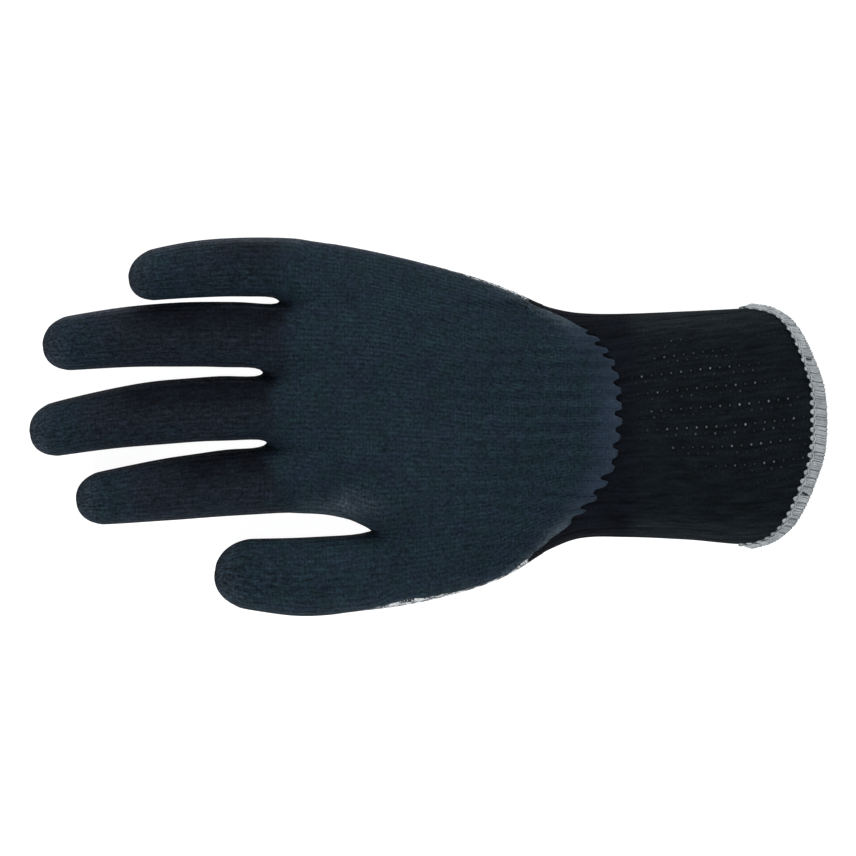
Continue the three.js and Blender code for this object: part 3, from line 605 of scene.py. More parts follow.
def hand_patches():
    """All the patches of the cage: for each finger its share of the palm and back and its tube with a tip,
    the valleys between two fingers and their web, and the hand's two outer sides."""
    patches = []
    shares = [palm_share(f) for f in range(5)]
    across = np.arange(COLUMNS)

    def add(points, wales, flip=False):
        """One patch more, with its columns in reverse where its faces would look inwards."""
        courses = (COATING_START - points[..., 0]) / COURSE
        marks = pattern_of(points, wales, courses)
        patches.append((points[:, ::-1], marks[:, ::-1]) if flip else (points, marks))

    for f, share in enumerate(shares):
        add(share["top"], f * COLUMNS + across)
        add(share["bottom"], f * COLUMNS + across, flip=True)
        rings, cap, distance = tube(f)
        ring_wales = f * COLUMNS - 1 + np.arange(rings.shape[1])
        along = (COATING_START - rings[0, :, 0]) / COURSE
        along = along[None, :] + distance[: len(rings), None] / COURSE
        patches.append((rings, pattern_of(rings, ring_wales, along)))
        end = rings[-1]
        top, bottom = end[1 : COLUMNS + 1], end[COLUMNS + 2 : -1][::-1]
        middle = np.vstack([end[:1], cap, end[COLUMNS + 1 : COLUMNS + 2]])
        lid = np.array([top, middle, bottom])
        lid_along = along[-1, 0] + np.array([0, distance[-1] - distance[-2], 0]) / COURSE
        patches.append((lid, pattern_of(lid, f * COLUMNS + across, lid_along)))
    for f in range(THUMB):
        a, b = shares[f], shares[f + 1]
        open_row = CROTCH_ROW if f == INDEX else WEB_ROW
        wales = f * COLUMNS + across[-1] + np.array([0, 1])
        for side in ("top", "bottom"):
            valley = np.stack([a[side][: open_row + 1, -1], b[side][: open_row + 1, 0]], 1)
            add(valley, wales, flip=side == "bottom")
        above, below = ((a[side][open_row, -1], b[side][open_row, 0]) for side in ("top", "bottom"))
        add(np.array([above, (a["right"][open_row], b["left"][open_row]), below]), wales)
    little, index, thumb = shares[0], shares[INDEX], shares[THUMB]
    outer = np.array([-2, -1, 0])
    add(np.stack([little["bottom"][:, 0], little["left"], little["top"][:, 0]], 1), outer)
    knuckles = slice(CROTCH_ROW, None)
    for share, rows, f in ((index, knuckles, INDEX), (thumb, slice(None), THUMB)):
        strip = np.stack([share["top"][rows, -1], share["right"][rows], share["bottom"][rows, -1]], 1)
        add(strip, f * COLUMNS + across[-1] - outer[::-1])
    return patches


cage_points, cage_faces, cage_pattern = weld(hand_patches())
print("cage:", len(cage_points), "points,", len(cage_faces), "cells")

# %% [markdown]
# Subdivision Surface pulls a coarse mesh in at its corners, so a finger would come out too thin. The cage is
# therefore moved out by what it lost, twice, until the smooth surface passes through the points we meant.
# Four cells now share a wale, enough to raise it as a real ridge.

# %% The smooth skin
cage = cage_points.copy()
for _ in range(2):
    reached = smoothed(cage, cage_faces, cage_pattern, 1)[0][: len(cage)]
    cage += cage_points - reached
miss = np.linalg.norm(cage_points - smoothed(cage, cage_faces, cage_pattern, 1)[0][: len(cage)], axis=1)
SKIN, SKIN_FACES, SKIN_PATTERN = smoothed(cage, cage_faces, cage_pattern, 2)
SKIN_NORMALS = point_normals(SKIN, SKIN_FACES)
SKIN_WALE = np.zeros(len(SKIN))
SKIN_WALE[SKIN_FACES.ravel()] = SKIN_PATTERN[..., 0].ravel()
print("the skin misses its points by", miss.max().round(3), "mm at most;", len(SKIN_FACES), "cells")

# %% [markdown]
# A glove is dipped palm down, so the rubber climbs its sides to a wavy line and stops at the wrist in a
# curve, toothed where it crosses the ribs. Every point of the skin gets a number: how deep it lies inside
# that line, in mm. All that follows, the cut, the thinning edge and the colours near it, reads this number.

# %% The rubber's border
DIP_WAVES = 5, (60, 17, 5, 2.2), (0.4, 0.35, 0.2, 0.5)  # seed, then lengths and heights of the waves in it
WRIST_WAVES = 9, (24, 7), (0.25, 0.2)
TOOTH_WAVES = 10, (1.8,), (0.35,)
NOTCH_WAVES = 12, (11,), (0.6,)
DIP_LINE = table("x thumb little", [  # height of the dip line on the thumb's side and the little finger's
    (-130, 8.5, 8.5),
    (-75, 8.5, 9.0),
    (-40, 10.5, 10.5),
    (-30, 13.8, 11.4),
    (-25, 16.2, 11.8),
    (-17, 16.9, 12.7),
    (-10, 17.7, 13.4),
    (0, 17.6, 15.0),
    (8, 17.0, 16.0),
    (14, 16.5, 17.0),
    (22, 16.2, 17.2),
    (32, 15.9, 16.4),
    (44, 12.0, 12.0),
])
WRIST_CENTRE = (17.4, -1.0)
WRIST_LINE = table("angle radius", [  # the curve at the wrist through the tips of the teeth, in degrees
    (-95, 400),
    (-82, 56),
    (-74, 46.0),
    (-68, 43.2),
    (-58, 40.8),
    (-45, 40.6),
    (-30, 42.0),
    (-15, 43.0),
    (0, 43.1),
    (15, 44.8),
    (30, 46.5),
    (42, 46.0),
    (50, 43.9),
    (60, 43.3),
    (68, 43.2),
    (74, 46.0),
    (82, 56),
    (95, 400),
])
TOOTHED = 47  # the teeth end at this angle to either side
TOOTH_DEPTH = 1.9  # how far the notches between the teeth reach in from the curve
TOOTH_NOTCH = 0.24  # half the width of a notch, as a share of a rib
RIB_MIDDLE, RIB_ARC, RIB_STEP = -3.6, 42, 0.12  # ribs at the wrist lie at Y = middle + arc sin(step n)
print("rows of the dip line:", len(DIP_LINE["x"]), "and of the wrist's curve:", len(WRIST_LINE["angle"]))

# %% [markdown]
# Such a number is the lesser of two: how high a point lies over the dip line, and how far it lies inside the
# wrist's curve. Random waves keep both lines from being too clean. Across the ribs the rubber flowed further
# along each crest than between two of them, so notches between the ribs make the teeth.


# %% How deep inside the rubber a point lies
def waves(points, seed, lengths, heights):
    """A smooth random field: the sum of sines over the points, each with its own wavelength in mm, height,
    direction and phase."""
    draw = np.random.default_rng(seed)
    total = np.zeros(len(points))
    for length, height in zip(lengths, heights):
        for _ in range(3):
            way = draw.normal(size=3)
            way *= 2 * np.pi / length / np.linalg.norm(way)
            total += height / 3 * np.sin(points @ way + draw.uniform(0, 2 * np.pi))
    return total


def rib_phase(y):
    """Counts ribs across the wrist, a crest at each half: they go round it, so they crowd at its sides."""
    return np.arcsin(np.clip((y - RIB_MIDDLE) / RIB_ARC, -1, 1)) / RIB_STEP + 0.5


def rubber_depth(points, face):
    """How far inside the dipped area a point lies: the lesser of its height over the dip line and the
    distance of the rubber's face there inside the wrist's curve, seen from above, where a notch between
    two teeth takes some away. Second, that distance alone."""
    x, y, z = points.T
    from_thumb_side = y - section_at(np.maximum(x, THUMB_CROTCH))["right"]
    thumb_level, little_level = (np.interp(x, DIP_LINE["x"], DIP_LINE[side]) for side in ("thumb", "little"))
    level = lerp(thumb_level, little_level, smooth((from_thumb_side - 5) / 8))
    over_dip = z - level + waves(points, *DIP_WAVES)
    along, across = face[:, 0] - WRIST_CENTRE[0], face[:, 1] - WRIST_CENTRE[1]
    angle = np.degrees(np.arctan2(across, along))
    radius = np.interp(angle, WRIST_LINE["angle"], WRIST_LINE["radius"])
    from_notch = np.mod(rib_phase(face[:, 1]) + 0.5, 1) - 0.5
    notch = np.exp(-((from_notch / TOOTH_NOTCH) ** 4)) * (1 + waves(face, *NOTCH_WAVES))
    toothed = smooth((TOOTHED - np.abs(angle)) / 5)
    ragged = waves(face, *WRIST_WAVES) + waves(face, *TOOTH_WAVES) * toothed
    inside = radius - TOOTH_DEPTH * notch * toothed + ragged - np.hypot(along, across)
    return np.minimum(over_dip, inside), inside


DEPTH, FROM_WRIST = rubber_depth(SKIN, SKIN + COVER * SKIN_NORMALS)
print("share of the skin under rubber:", round(float((DEPTH > 0).mean()), 2))

# %% [markdown]
# The knitted hand is a wall: the skin once moved out, once moved in, joined by a rim round the wrist. Where
# the rubber covers it, it stays low. Where it is bare it swells up beside the rubber's edge, so the coating
# is only a thin step above the yarn. A point on a wale's crest stands higher than one between two wales.
# Where the glove lies on its table, nothing may stick out below it.

# %% Knitted hand
KNIT_RISE = 1.0  # the bare knit's face over the skin, halfway up its wales
KNIT_UNDER_RUBBER = 0.15  # and of the covered knit
CUFF_RISE = 0.7  # and of the knit beside the cuff
CUFF_RISE_FROM, CUFF_RISE_FADE = 36.7, 9  # which is reached at this X, over this length
WALE_HEIGHT = 0.22  # from the groove between two wales to their crests


def ridge(wale):
    """1 on the crest of a wale and 0 between two, a rounded hump."""
    return np.abs(np.cos(np.pi * wale))


def open_edges(faces):
    """Edges that only one face has, each in that face's direction."""
    edges = np.stack([faces.ravel(), np.roll(faces, -1, axis=1).ravel()], 1)
    low, high = edges.min(1).astype(np.int64), edges.max(1).astype(np.int64)
    _, place, count = np.unique(low << 32 | high, return_inverse=True, return_counts=True)
    return edges[count[place] == 1]


def wall(faces, pattern, outside, inside):
    """A closed wall: the outer points, the inner ones with their faces turned round, and a rim along each
    open edge, of four-sided faces or of pairs of triangles."""
    count = len(outside)
    a, b = open_edges(faces).T
    rim = np.stack([b, a, a + count, b + count], 1)
    if faces.shape[1] == 3:
        rim = np.vstack([rim[:, [0, 1, 2]], rim[:, [0, 2, 3]]])
    where = np.zeros((count, 2))
    where[faces.ravel()] = pattern.reshape(-1, 2)
    all_faces = np.vstack([faces, faces[:, ::-1] + count, rim])
    all_pattern = np.concatenate([pattern, pattern[:, ::-1], where[rim % count]])
    return np.vstack([outside, inside]), all_faces, all_pattern


def keep(faces, pattern, kept):
    """The faces that are kept, numbered anew, and which points they use."""
    used, place = np.unique(faces[kept], return_inverse=True)
    return place.reshape(faces[kept].shape), pattern[kept], used


def hand_knit():
    """The knitted hand: its outer face lies KNIT_RISE over the skin, less than that under the rubber and
    beside the cuff, and rises by WALE_HEIGHT on each wale; its inner face lies KNIT under the skin."""
    bare = 1 - smooth((DEPTH + 0.2) / 2)
    towards_cuff = 1 - smooth((CUFF_RISE_FROM - SKIN[:, 0]) / CUFF_RISE_FADE)
    rise = lerp(KNIT_UNDER_RUBBER, lerp(KNIT_RISE, CUFF_RISE, towards_cuff), bare)
    outside = SKIN + SKIN_NORMALS * (rise + WALE_HEIGHT * (ridge(SKIN_WALE) - 0.5))[:, None]
    outside[:, 2] = np.maximum(outside[:, 2], 0)
    inside = SKIN - SKIN_NORMALS * KNIT
    in_hand = SKIN_PATTERN[..., 1].mean(1) > (COATING_START - CUFF_JOINT) / COURSE
    faces, pattern, used = keep(SKIN_FACES, SKIN_PATTERN, in_hand)
    return wall(faces, pattern, outside[used], inside[used])


knit_piece = make_object("hand_knit", *hand_knit())
print("knitted hand:", len(knit_piece.data.polygons), "faces")

# %% [markdown]
# The coating is the same skin, cut along the line where its depth is nought. An edge whose ends have
# different signs is cut at the share of its length where the depth crosses nought. A second cut a little
# further in gives the rubber's edge a row of points to round off on. Then it too becomes a closed wall.


# %% Cut a surface along a line
def blended(values, source, shares):
    """Values at cut points, each a mean of the values at the two old points it lies between."""
    shares = shares if values.ndim == 1 else shares[:, None]
    return lerp(values[source[:, 0]], values[source[:, 1]], shares)


def cut(faces, pattern, depth, count):
    """Keeps the side of a mesh of triangles where the depth is positive. A triangle with one corner inside
    becomes a smaller one, one with two corners inside becomes two; their corners 3 and 4 are the cut points.
    Returns faces and pattern, and for every point, old and new, the two old points it lies between and its
    share of the way from one to the other."""
    inside = depth[faces] > 0
    total = inside.sum(1)
    first = np.where(total == 1, np.argmax(inside, 1), np.argmin(inside, 1))
    order = (first[:, None] + np.arange(3)) % 3
    faces_turned = np.take_along_axis(faces, order, 1)
    pattern_turned = np.take_along_axis(pattern, order[..., None], 1)
    new_faces, new_pattern, source, shares = [faces[total == 3]], [pattern[total == 3]], [], []
    for corners, triangles in ((1, [[0, 3, 4]]), (2, [[3, 1, 2], [3, 2, 4]])):
        f, p = faces_turned[total == corners], pattern_turned[total == corners]
        for end in (1, 2):
            share = depth[f[:, 0]] / (depth[f[:, 0]] - depth[f[:, end]])
            number = count + sum(len(s) for s in shares) + np.arange(len(f))
            source.append(f[:, [0, end]])
            shares.append(share)
            mark = lerp(p[:, 0], p[:, end], share[:, None])
            f, p = np.column_stack([f, number]), np.concatenate([p, mark[:, None]], 1)
        new_faces += [f[:, triangle] for triangle in triangles]
        new_pattern += [p[:, triangle] for triangle in triangles]
    old = np.arange(count)
    source = np.vstack([np.stack([old, old], 1), *source])
    shares = np.concatenate([np.zeros(count), *shares])
    return np.vstack(new_faces), np.vstack(new_pattern), source, shares


def join_equal(faces, pattern, fields):
    """Makes points at the same place one, and drops faces that lose a corner by it. The fields are arrays
    over the points, the places first."""
    _, first, place = np.unique(fields[0].round(4), axis=0, return_index=True, return_inverse=True)
    faces = place.reshape(-1)[faces]
    whole = (faces[:, 0] != faces[:, 1]) & (faces[:, 1] != faces[:, 2]) & (faces[:, 2] != faces[:, 0])
    faces, pattern, used = keep(faces, pattern, whole)
    return faces, pattern, [field[first][used] for field in fields]


print("skin's corners inside the dipped area:", int((DEPTH > 0).sum()))

# %% [markdown]
# The rubber set on the yarn, three quarters of a millimetre thick. It bridges the wales, so they show only
# softly, but it goes up and down over the cuff's deep ribs. Its edge thins and rounds off into the knit.

# %% Palm coating
EDGE_ROUND = 0.45  # width over which the rubber's edge rounds off
EDGE_SINK = 0.3  # how far its last line of points goes into the knit
EDGE_STEP = 0.2  # how far its face stands over the bare knit beside it
THIN_EDGE = 0.6  # its face over the skin where it thins out at the wrist
RUBBER = 0.75  # its thickness away from its edges
LEAST_RUBBER = 0.06  # and right at them
HEEL_START, HEEL_LENGTH = -8, 36  # over this stretch of X the cuff's ribs take the place of the wales
RIB_SHOWS = 0.39  # height of the ribs where they show through the rubber
WALES_SHOW = 0.6  # the share of a wale's height that shows through
RUBBER_WAVES = 3, (14, 7), (0.12, 0.06)  # seed, lengths and heights of the unevenness of the dip


def cut_skin():
    """The skin's triangles inside the dipped area, with a row of points EDGE_ROUND inside its edge."""
    faces = np.vstack([SKIN_FACES[:, [0, 1, 2]], SKIN_FACES[:, [0, 2, 3]]])
    pattern = np.vstack([SKIN_PATTERN[:, [0, 1, 2]], SKIN_PATTERN[:, [0, 2, 3]]])
    fields = [SKIN, SKIN_NORMALS, SKIN_WALE, DEPTH, FROM_WRIST]
    faces, pattern, source, shares = cut(faces, pattern, DEPTH, len(SKIN))
    fields = [blended(field, source, shares) for field in fields]
    parts, count = [], 0
    for inwards in (1, -1):
        part = cut(faces, pattern, inwards * (fields[3] - EDGE_ROUND), len(fields[0]))
        parts.append((part[0] + count, part[1], [blended(field, *part[2:]) for field in fields]))
        count += len(part[2])
    fields = [np.concatenate([part[2][k] for part in parts]) for k in range(len(fields))]
    return join_equal(np.vstack([part[0] for part in parts]), np.vstack([part[1] for part in parts]), fields)


def coating():
    """The rubber: its face COVER over the skin, with the wales and the cuff's ribs showing through, thinner
    near the wrist, and rounded down into the knit at its edge; its inner face RUBBER below that."""
    faces, pattern, (points, normals, wale, depth, from_wrist) = cut_skin()
    face = lerp(THIN_EDGE, COVER, smooth(from_wrist / 10))
    face = np.minimum(face, lerp(KNIT_RISE + EDGE_STEP, COVER, smooth(depth / 4)))
    rounded = np.sqrt(1 - (1 - np.clip(depth / EDGE_ROUND, 0, 1)) ** 2)
    base = np.minimum(KNIT_RISE, face) - EDGE_SINK
    at_heel = smooth((points[:, 0] - HEEL_START) / HEEL_LENGTH)
    ribs = RIB_SHOWS * np.cos(2 * np.pi * (rib_phase(points[:, 1]) - 0.5)) * at_heel
    wales = WALE_HEIGHT * WALES_SHOW * (ridge(wale) - 0.5) * (1 - 0.7 * at_heel)
    relief = (ribs + wales + waves(points, *RUBBER_WAVES)) * smooth(depth / 2)
    outside = points + normals * (lerp(base, face, rounded) + relief)[:, None]
    under = base - LEAST_RUBBER
    inside = points + normals * np.minimum(under, lerp(under, face - RUBBER, smooth(depth)))[:, None]
    return faces, pattern, outside, inside, depth, from_wrist, normals


faces, pattern, outside, inside, depth, from_wrist, normals = coating()
points, faces, pattern = wall(faces, pattern, outside, inside)
print("coating:", len(faces), "triangles")

# %% [markdown]
# The rubber isn't one colour. It is more violet on the fingers, which were dipped deepest, and darker there,
# partly as painted shade from the fingers beside them. It is paler along its thin edge. The paler
# fingertips, the paler faces towards the little finger and a pale patch where the index finger meets the
# thumb's crotch are painted light, a highlight and a sheen. Each such place is a number from 0 to 1 on the
# points, which the material will read.

# %% Where the coating changes colour
FINGER_START = np.array([-43.0, -41.0, -44.5, -44.0, -42.0])  # where each finger's more violet rubber, darkened by painted shade, begins
VIOLET = np.array([0.5, 1.0, 1.0, 1.0, 0.12])  # how much darker and more violet each finger is
SHEEN_AT, SHEEN_REACH = (-26, -25.5), (10, 4.5)  # middle and reach of the painted sheen in X and Y
START_WAVES = 21, (15, 6), (1.5, 1.0)  # seed, lengths and heights of the waves in FINGER_START
EDGE_PALE = (1.2, 4.5)  # how far in the pale edge reaches along the hand's sides, and at the wrist
TIP_PALE = 11  # and how far back the pale tip of a finger


def in_fingers(points):
    """The finger each point belongs to, whose axis is the nearest in plan; how far it is from that finger's
    tip; and its place across the finger, from -1 on the thumb's side to 1."""
    x, y = points[:, 0], points[:, 1]
    offset = []
    for f in range(5):
        root, tip_x = root_of(f)["centre"], FINGERS["tip_x"][f]
        t = np.clip((root[0] - x) / (root[0] - tip_x), -0.5, 1)
        offset.append(y - bow(root[1], FINGERS["mid_y"][f], FINGERS["tip_y"][f], t))
    finger = np.abs(offset).argmin(0)
    across = np.take_along_axis(np.array(offset), finger[None], 0)[0] * 2
    return finger, x - np.array(FINGERS["tip_x"])[finger], across / np.array(FINGERS["mid_width"])[finger]


finger, to_tip, across = in_fingers(outside)
x = outside[:, 0]
start = FINGER_START[finger] - 4 * across * (finger == INDEX) + waves(outside, *START_WAVES)
violet = VIOLET[finger] * smooth((start - x) / 6) * smooth((to_tip - 5) / 22)
violet *= 1 - 0.3 * smooth((-0.2 - across) / 0.6)
on_thumb = (finger == THUMB) * smooth(-x / 30) / 2
edge_width = lerp(*EDGE_PALE, smooth((x - 12) / 14))
marks = {
    # the fingers' more violet rubber, darker also as painted shade, and a little paler on their thumb's side
    # as painted light
    "violet": violet,
    # painted shade: darker still on the side towards the little finger, which the next finger shades
    "shade": violet * smooth((across + 0.35) / 0.9) * smooth((to_tip - 18) / 22),
    # where creases and furrows run
    "finger": smooth((start - x) / 12) + on_thumb,
    # painted highlight: the fingertips paler, where they turn up into the light
    "tip": 1 - smooth(to_tip / TIP_PALE),
    # the smooth, bluish rubber beside the wrist's curve
    "rim": (1 - smooth((from_wrist - 2) / 8)) * smooth((x - 36) / 14),
    # the thin border, which fades out where the rim begins
    "edge": (1 - smooth(depth / edge_width)) * (1 - 0.8 * smooth((x - 42) / 8)),
    # painted light: faces that look towards the little finger's side are paler, where they catch the light
    # from there
    "side": smooth((normals[:, 1] - 0.75) / 0.2) * (finger != THUMB),
    # painted sheen: paler on the index finger's flank by the thumb's crotch, where it catches the light
    "crotch_sheen": np.exp(-(((outside[:, :2] - SHEEN_AT) / SHEEN_REACH) ** 2).sum(1)),
}
marks = {name: np.tile(mark, 2) for name, mark in marks.items()}  # the same on the outer and the inner face
coat_piece = make_object("palm_coat", points, faces, pattern, marks)
print("marks on the coating:", ", ".join(marks))

# %% [markdown]
# The cuff is a tube that carries on the hand's skin: a turn round the wrist by a length along it. Its ribs
# run along it. They are narrow at the wrist and spread over palm and back towards the mouth, while they stay
# closer together at the two folds, and the whole knit is twisted a little.

# %% The cuff's skin
RIBS = 33
CROWDING = table("x share", [(40, 0.02), (80, 0.24)])  # how much closer together ribs lie at the folds
EVEN_RING = 75.0  # the ribs are counted out on the ring at this X
TWIST_START = 80.0
TWIST = 0.019  # how many ribs the knit turns round the wrist in one millimetre of length
ARC_STEPS = 720
ALONG_STEP, TURN_STEP = 0.4, 0.002  # either way, to measure a slope of the skin


def cuff_skin(turn, x):
    """The cuff's skin. The turn goes once round from the thumb's fold over the palm, on a superellipse:
    Y is the cosine to the power 2 / SECTION_POWER. Towards the mouth each side bulges out along X, by its
    bulge times its share in MOUTH_SHARES."""
    angle = turn * 2 * np.pi
    squarer = 2 / SECTION_POWER
    on_palm = np.sin(angle) >= 0
    spread = np.maximum(0, (x - COATING_START) / (MOUTH_CORNER - COATING_START))
    bulge = np.where(on_palm, MOUTH_BULGE_PALM, MOUTH_BULGE_BACK)
    place = x + at_station(MOUTH_SHARES, np.abs(np.sin(angle)), "share") * bulge * spread
    section = section_at(place)
    left, right = section["left"], section["right"]
    y = (left + right) / 2 - np.sign(np.cos(angle)) * np.abs(np.cos(angle)) ** squarer * (left - right) / 2
    z = np.where(on_palm, slab_height(place, y, True, section), slab_height(place, y, False, section))
    return np.stack([place, y, z], -1)


def cuff_normals(turn, x):
    """The direction out of the cuff's skin, from the cross product of its two slopes."""
    along = cuff_skin(turn, x + ALONG_STEP) - cuff_skin(turn, x - ALONG_STEP)
    around = cuff_skin(turn + TURN_STEP, x) - cuff_skin(turn - TURN_STEP, x)
    return unit(np.cross(along, around))


def even_turns(share, x):
    """The turn at a share of the way round the cuff's ring at x: its arc is measured and read backwards."""
    turn = np.linspace(0, 1, ARC_STEPS + 1)
    ring = cuff_skin(turn, np.full_like(turn, x))
    arc = np.append(0, np.cumsum(np.linalg.norm(np.diff(ring, axis=0), axis=1)))
    return np.interp(share % 1, arc / arc[-1], turn) + np.floor(share)


def rib_turns(rib, x):
    """The turn of each rib coordinate at length x: even steps round the cuff, and then a share of the
    spacing moves between the folds and the middles."""
    even = (rib + TWIST * (x - TWIST_START)) / RIBS
    share = np.interp(x, CROWDING["x"], CROWDING["share"])
    return even_turns(even - share * np.sin(4 * np.pi * even) / (4 * np.pi), EVEN_RING)


print("turn of the first rib at X = 75:", round(float(rib_turns(np.array(1.0), np.array(75.0))), 4))

# %% [markdown]
# The cuff is a rib knit: two wales stand up, one lies back, and so on round the wrist, which lets it
# stretch. Ribs and wales are real relief on one grid, and an inner wall closes it. Three numbers on its
# points say where the rib is stretched open, where it is next to the coating, and where it folds.

# %% Cuff
SAMPLES_PER_RIB = 12
RING_STEP = 1.3  # length of the grid's cells
CUFF_WALL = 1.6
RIB_SETBACK = 0.1  # how far under the skin the ribs' face lies
RIB_DEPTH = 0.28  # depth of the groove between two ribs
GROOVE = 0.15  # half its width, as a share of a rib
CUFF_WALE = 0.1  # height of a wale
CUFF_TUCK = 0.5  # how much lower the cuff's face lies under the rubber
OPEN_AT, OPEN_REACH, OPEN_LEAN = (92, 5), (26, 19), 0.3  # where the rib is stretched open, in X and Y


def cuff():
    """The ribbed wall. Its face is a small hump for each wale, less a bell curve for each groove; it stands
    as high as the bare knit beside the hand, and CUFF_TUCK lower under the rubber."""
    x = np.append(np.arange(CUFF_JOINT, MOUTH_CORNER - 1, RING_STEP), MOUTH_CORNER)
    rib = np.arange(RIBS * SAMPLES_PER_RIB + 1) / SAMPLES_PER_RIB
    rib, x = np.meshgrid(rib, x)
    turn = rib_turns(rib, x)
    angle = turn * 2 * np.pi
    skin, out = cuff_skin(turn, x), cuff_normals(turn, x)
    groove = np.exp(-(((np.mod(rib + 0.5, 1) - 0.5) / GROOVE) ** 2))
    face = CUFF_WALE * ridge(rib * 3 + 0.5) - RIB_DEPTH * groove - RIB_SETBACK
    off_palm = np.where(np.sin(angle) < 0, 1, smooth((np.abs(np.cos(angle)) - 0.8) / 0.15))
    face = face + (CUFF_RISE + RIB_SETBACK) * off_palm * (1 - smooth((skin[..., 0] - CUFF_JOINT - 2) / 14))
    covered = rubber_depth(skin.reshape(-1, 3), skin.reshape(-1, 3))[0].reshape(x.shape)
    face = face - CUFF_TUCK * smooth((covered - 0.5) / 1.5)
    outside, inside = skin + out * face[..., None], skin - out * (RIB_SETBACK + CUFF_WALL)
    outside[..., 2] = np.maximum(outside[..., 2], 0)
    length = np.cumsum(np.linalg.norm(np.diff(skin, axis=0, prepend=skin[:1]), axis=-1), axis=0)
    along = skin[..., 0] - OPEN_AT[0]
    aside = skin[..., 1] - OPEN_AT[1] + along * OPEN_LEAN
    marks = {
        "open": 1 - smooth((np.hypot(along / OPEN_REACH[0], aside / OPEN_REACH[1]) - 0.75) / 0.5),
        # painted shadow of the coating on the cuff beside it
        "coating_shadow": 1 - smooth((skin[..., 0] - 60) / 8),
        # painted sheen along the side folds, where the rib turns edge on
        "fold_sheen": smooth((0.75 - np.abs(np.sin(angle))) / 0.3),
    }
    faces = grid_faces(*x.shape)
    pattern = np.stack([rib * 3, length], -1).reshape(-1, 2)[faces]
    _, first, place = np.unique(skin.reshape(-1, 3).round(4), axis=0, return_index=True, return_inverse=True)
    outside, inside = outside.reshape(-1, 3)[first], inside.reshape(-1, 3)[first]
    marks = {name: np.tile(mark.ravel()[first], 2) for name, mark in marks.items()}
    return *wall(place.reshape(-1)[faces], pattern, outside, inside), marks


cuff_piece = make_object("rib_cuff", *cuff())
print("cuff:", len(cuff_piece.data.polygons), "faces")

# %% [markdown]
# The mouth is bound by an overlock machine, whose thread wraps the raw edge from face to face. So the
# binding is one section, a U that is carried round the mouth, and all that is sewn is laid out on it: s runs
# over the edge and the turn runs round the mouth. First comes the band that fills the space under the
# strands.

# %% Overlock hem
HEM_WIDTHS = table("turn width", [  # the binding is widest over the palm and narrows on the far side
    (0, 4.8),
    (0.04, 3.7),
    (0.15, 4.0),
    (0.25, 4.0),
    (0.34, 3.1),
    (0.43, 2.5),
    (0.5, 4.4),
    (0.62, 3.6),
    (0.88, 3.8),
    (1, 4.8),
])
HEM_LIFT = 0.6  # the band's face over the cuff's skin
FOLD_TUCK = 1.1  # at the side folds the binding's border lies this much nearer to the cuff
FOLD_BULGE = 0.6  # and its edge this much further out
FOLD_REACH = 2.5  # the power by which both fade from the folds on; more keeps them closer to the folds
HEM_INNER = CUFF_WALL + 0.2  # the depth of the U
HEM_CORE = 0.25  # how far past the cuff's edge its inner face reaches
HEM_BACK = 0.8  # inside the mouth the binding is this share of its width
EDGE_FROM, EDGE_TO = 0.42, 0.58  # shares of the section where it turns over the cuff's edge
BAND_STEPS = 300


def hem_section(turn, s, lift):
    """A point of the binding. s runs from 0 at its border on the outer face, over the cuff's edge at 0.5, to
    1 at its border inside, and below 0 onto the cuff. Over the edge the height is the cosine, and the reach
    the sine, of half a turn; the lift stands off the cuff."""
    middle = np.abs(np.sin(turn * 2 * np.pi))
    width = np.interp(turn % 1, HEM_WIDTHS["turn"], HEM_WIDTHS["width"])
    back = np.where(s < 0.5, (EDGE_FROM - s) / EDGE_FROM, (s - EDGE_TO) / (1 - EDGE_TO) * HEM_BACK)
    over = np.clip((s - EDGE_FROM) / (EDGE_TO - EDGE_FROM), 0, 1) * np.pi
    bulge = np.where(np.sin(turn * 2 * np.pi) >= 0, MOUTH_BULGE_PALM, MOUTH_BULGE_BACK)
    stretch = 1 + at_station(MOUTH_SHARES, middle, "share") * bulge / (MOUTH_CORNER - COATING_START)
    x = MOUTH_CORNER - np.maximum(back, 0) * width / stretch
    out = cuff_normals(turn, x)
    around = cuff_skin(turn + TURN_STEP, x) - cuff_skin(turn - TURN_STEP, x)
    onward = unit(np.cross(around, out))
    tucked = (1 - middle) ** FOLD_REACH * lerp(-FOLD_BULGE, FOLD_TUCK, np.clip(back, 0, 1))
    height = (HEM_INNER / 2 + lift) * np.cos(over) - HEM_INNER / 2 - tucked * np.sign(0.5 - s)
    reach = np.sin(over) * (HEM_CORE + lift)
    return cuff_skin(turn, x) + out * height[..., None] + onward * reach[..., None]


def hem_band():
    """The band under the strands, a closed tube along the mouth."""
    turn = even_turns(np.linspace(0, 1, BAND_STEPS + 1), MOUTH_CORNER)
    palm_side, inner_side = np.linspace(0.03, EDGE_FROM, 5), np.linspace(EDGE_TO, 0.97, 5)
    s = np.concatenate([palm_side, np.linspace(0.45, 0.55, 4), inner_side])
    turn, s = np.meshgrid(turn, s)
    lift = np.full_like(s, HEM_LIFT)
    ring = np.concatenate([hem_section(turn, s, lift), hem_section(turn, s, 0 * lift)[::-1]])
    ring = np.concatenate([ring, ring[:1]])
    points, faces, _ = weld([(ring, np.zeros((*ring.shape[:2], 2)))])
    return points, faces


parts = [hem_band()]
print("band under the strands:", len(parts[0][1]), "faces")

# %% [markdown]
# A thread is a tube along a path. There are hundreds of them, so one function works all their rings out at
# once, with six sides each, and they taper at their ends, where they go into the knit.

# %% Tubes for threads
END_FACES = [(0, [3, 2, 1, 0]), (0, [5, 4, 3, 0]), (-1, [0, 1, 2, 3]), (-1, [0, 3, 4, 5])]


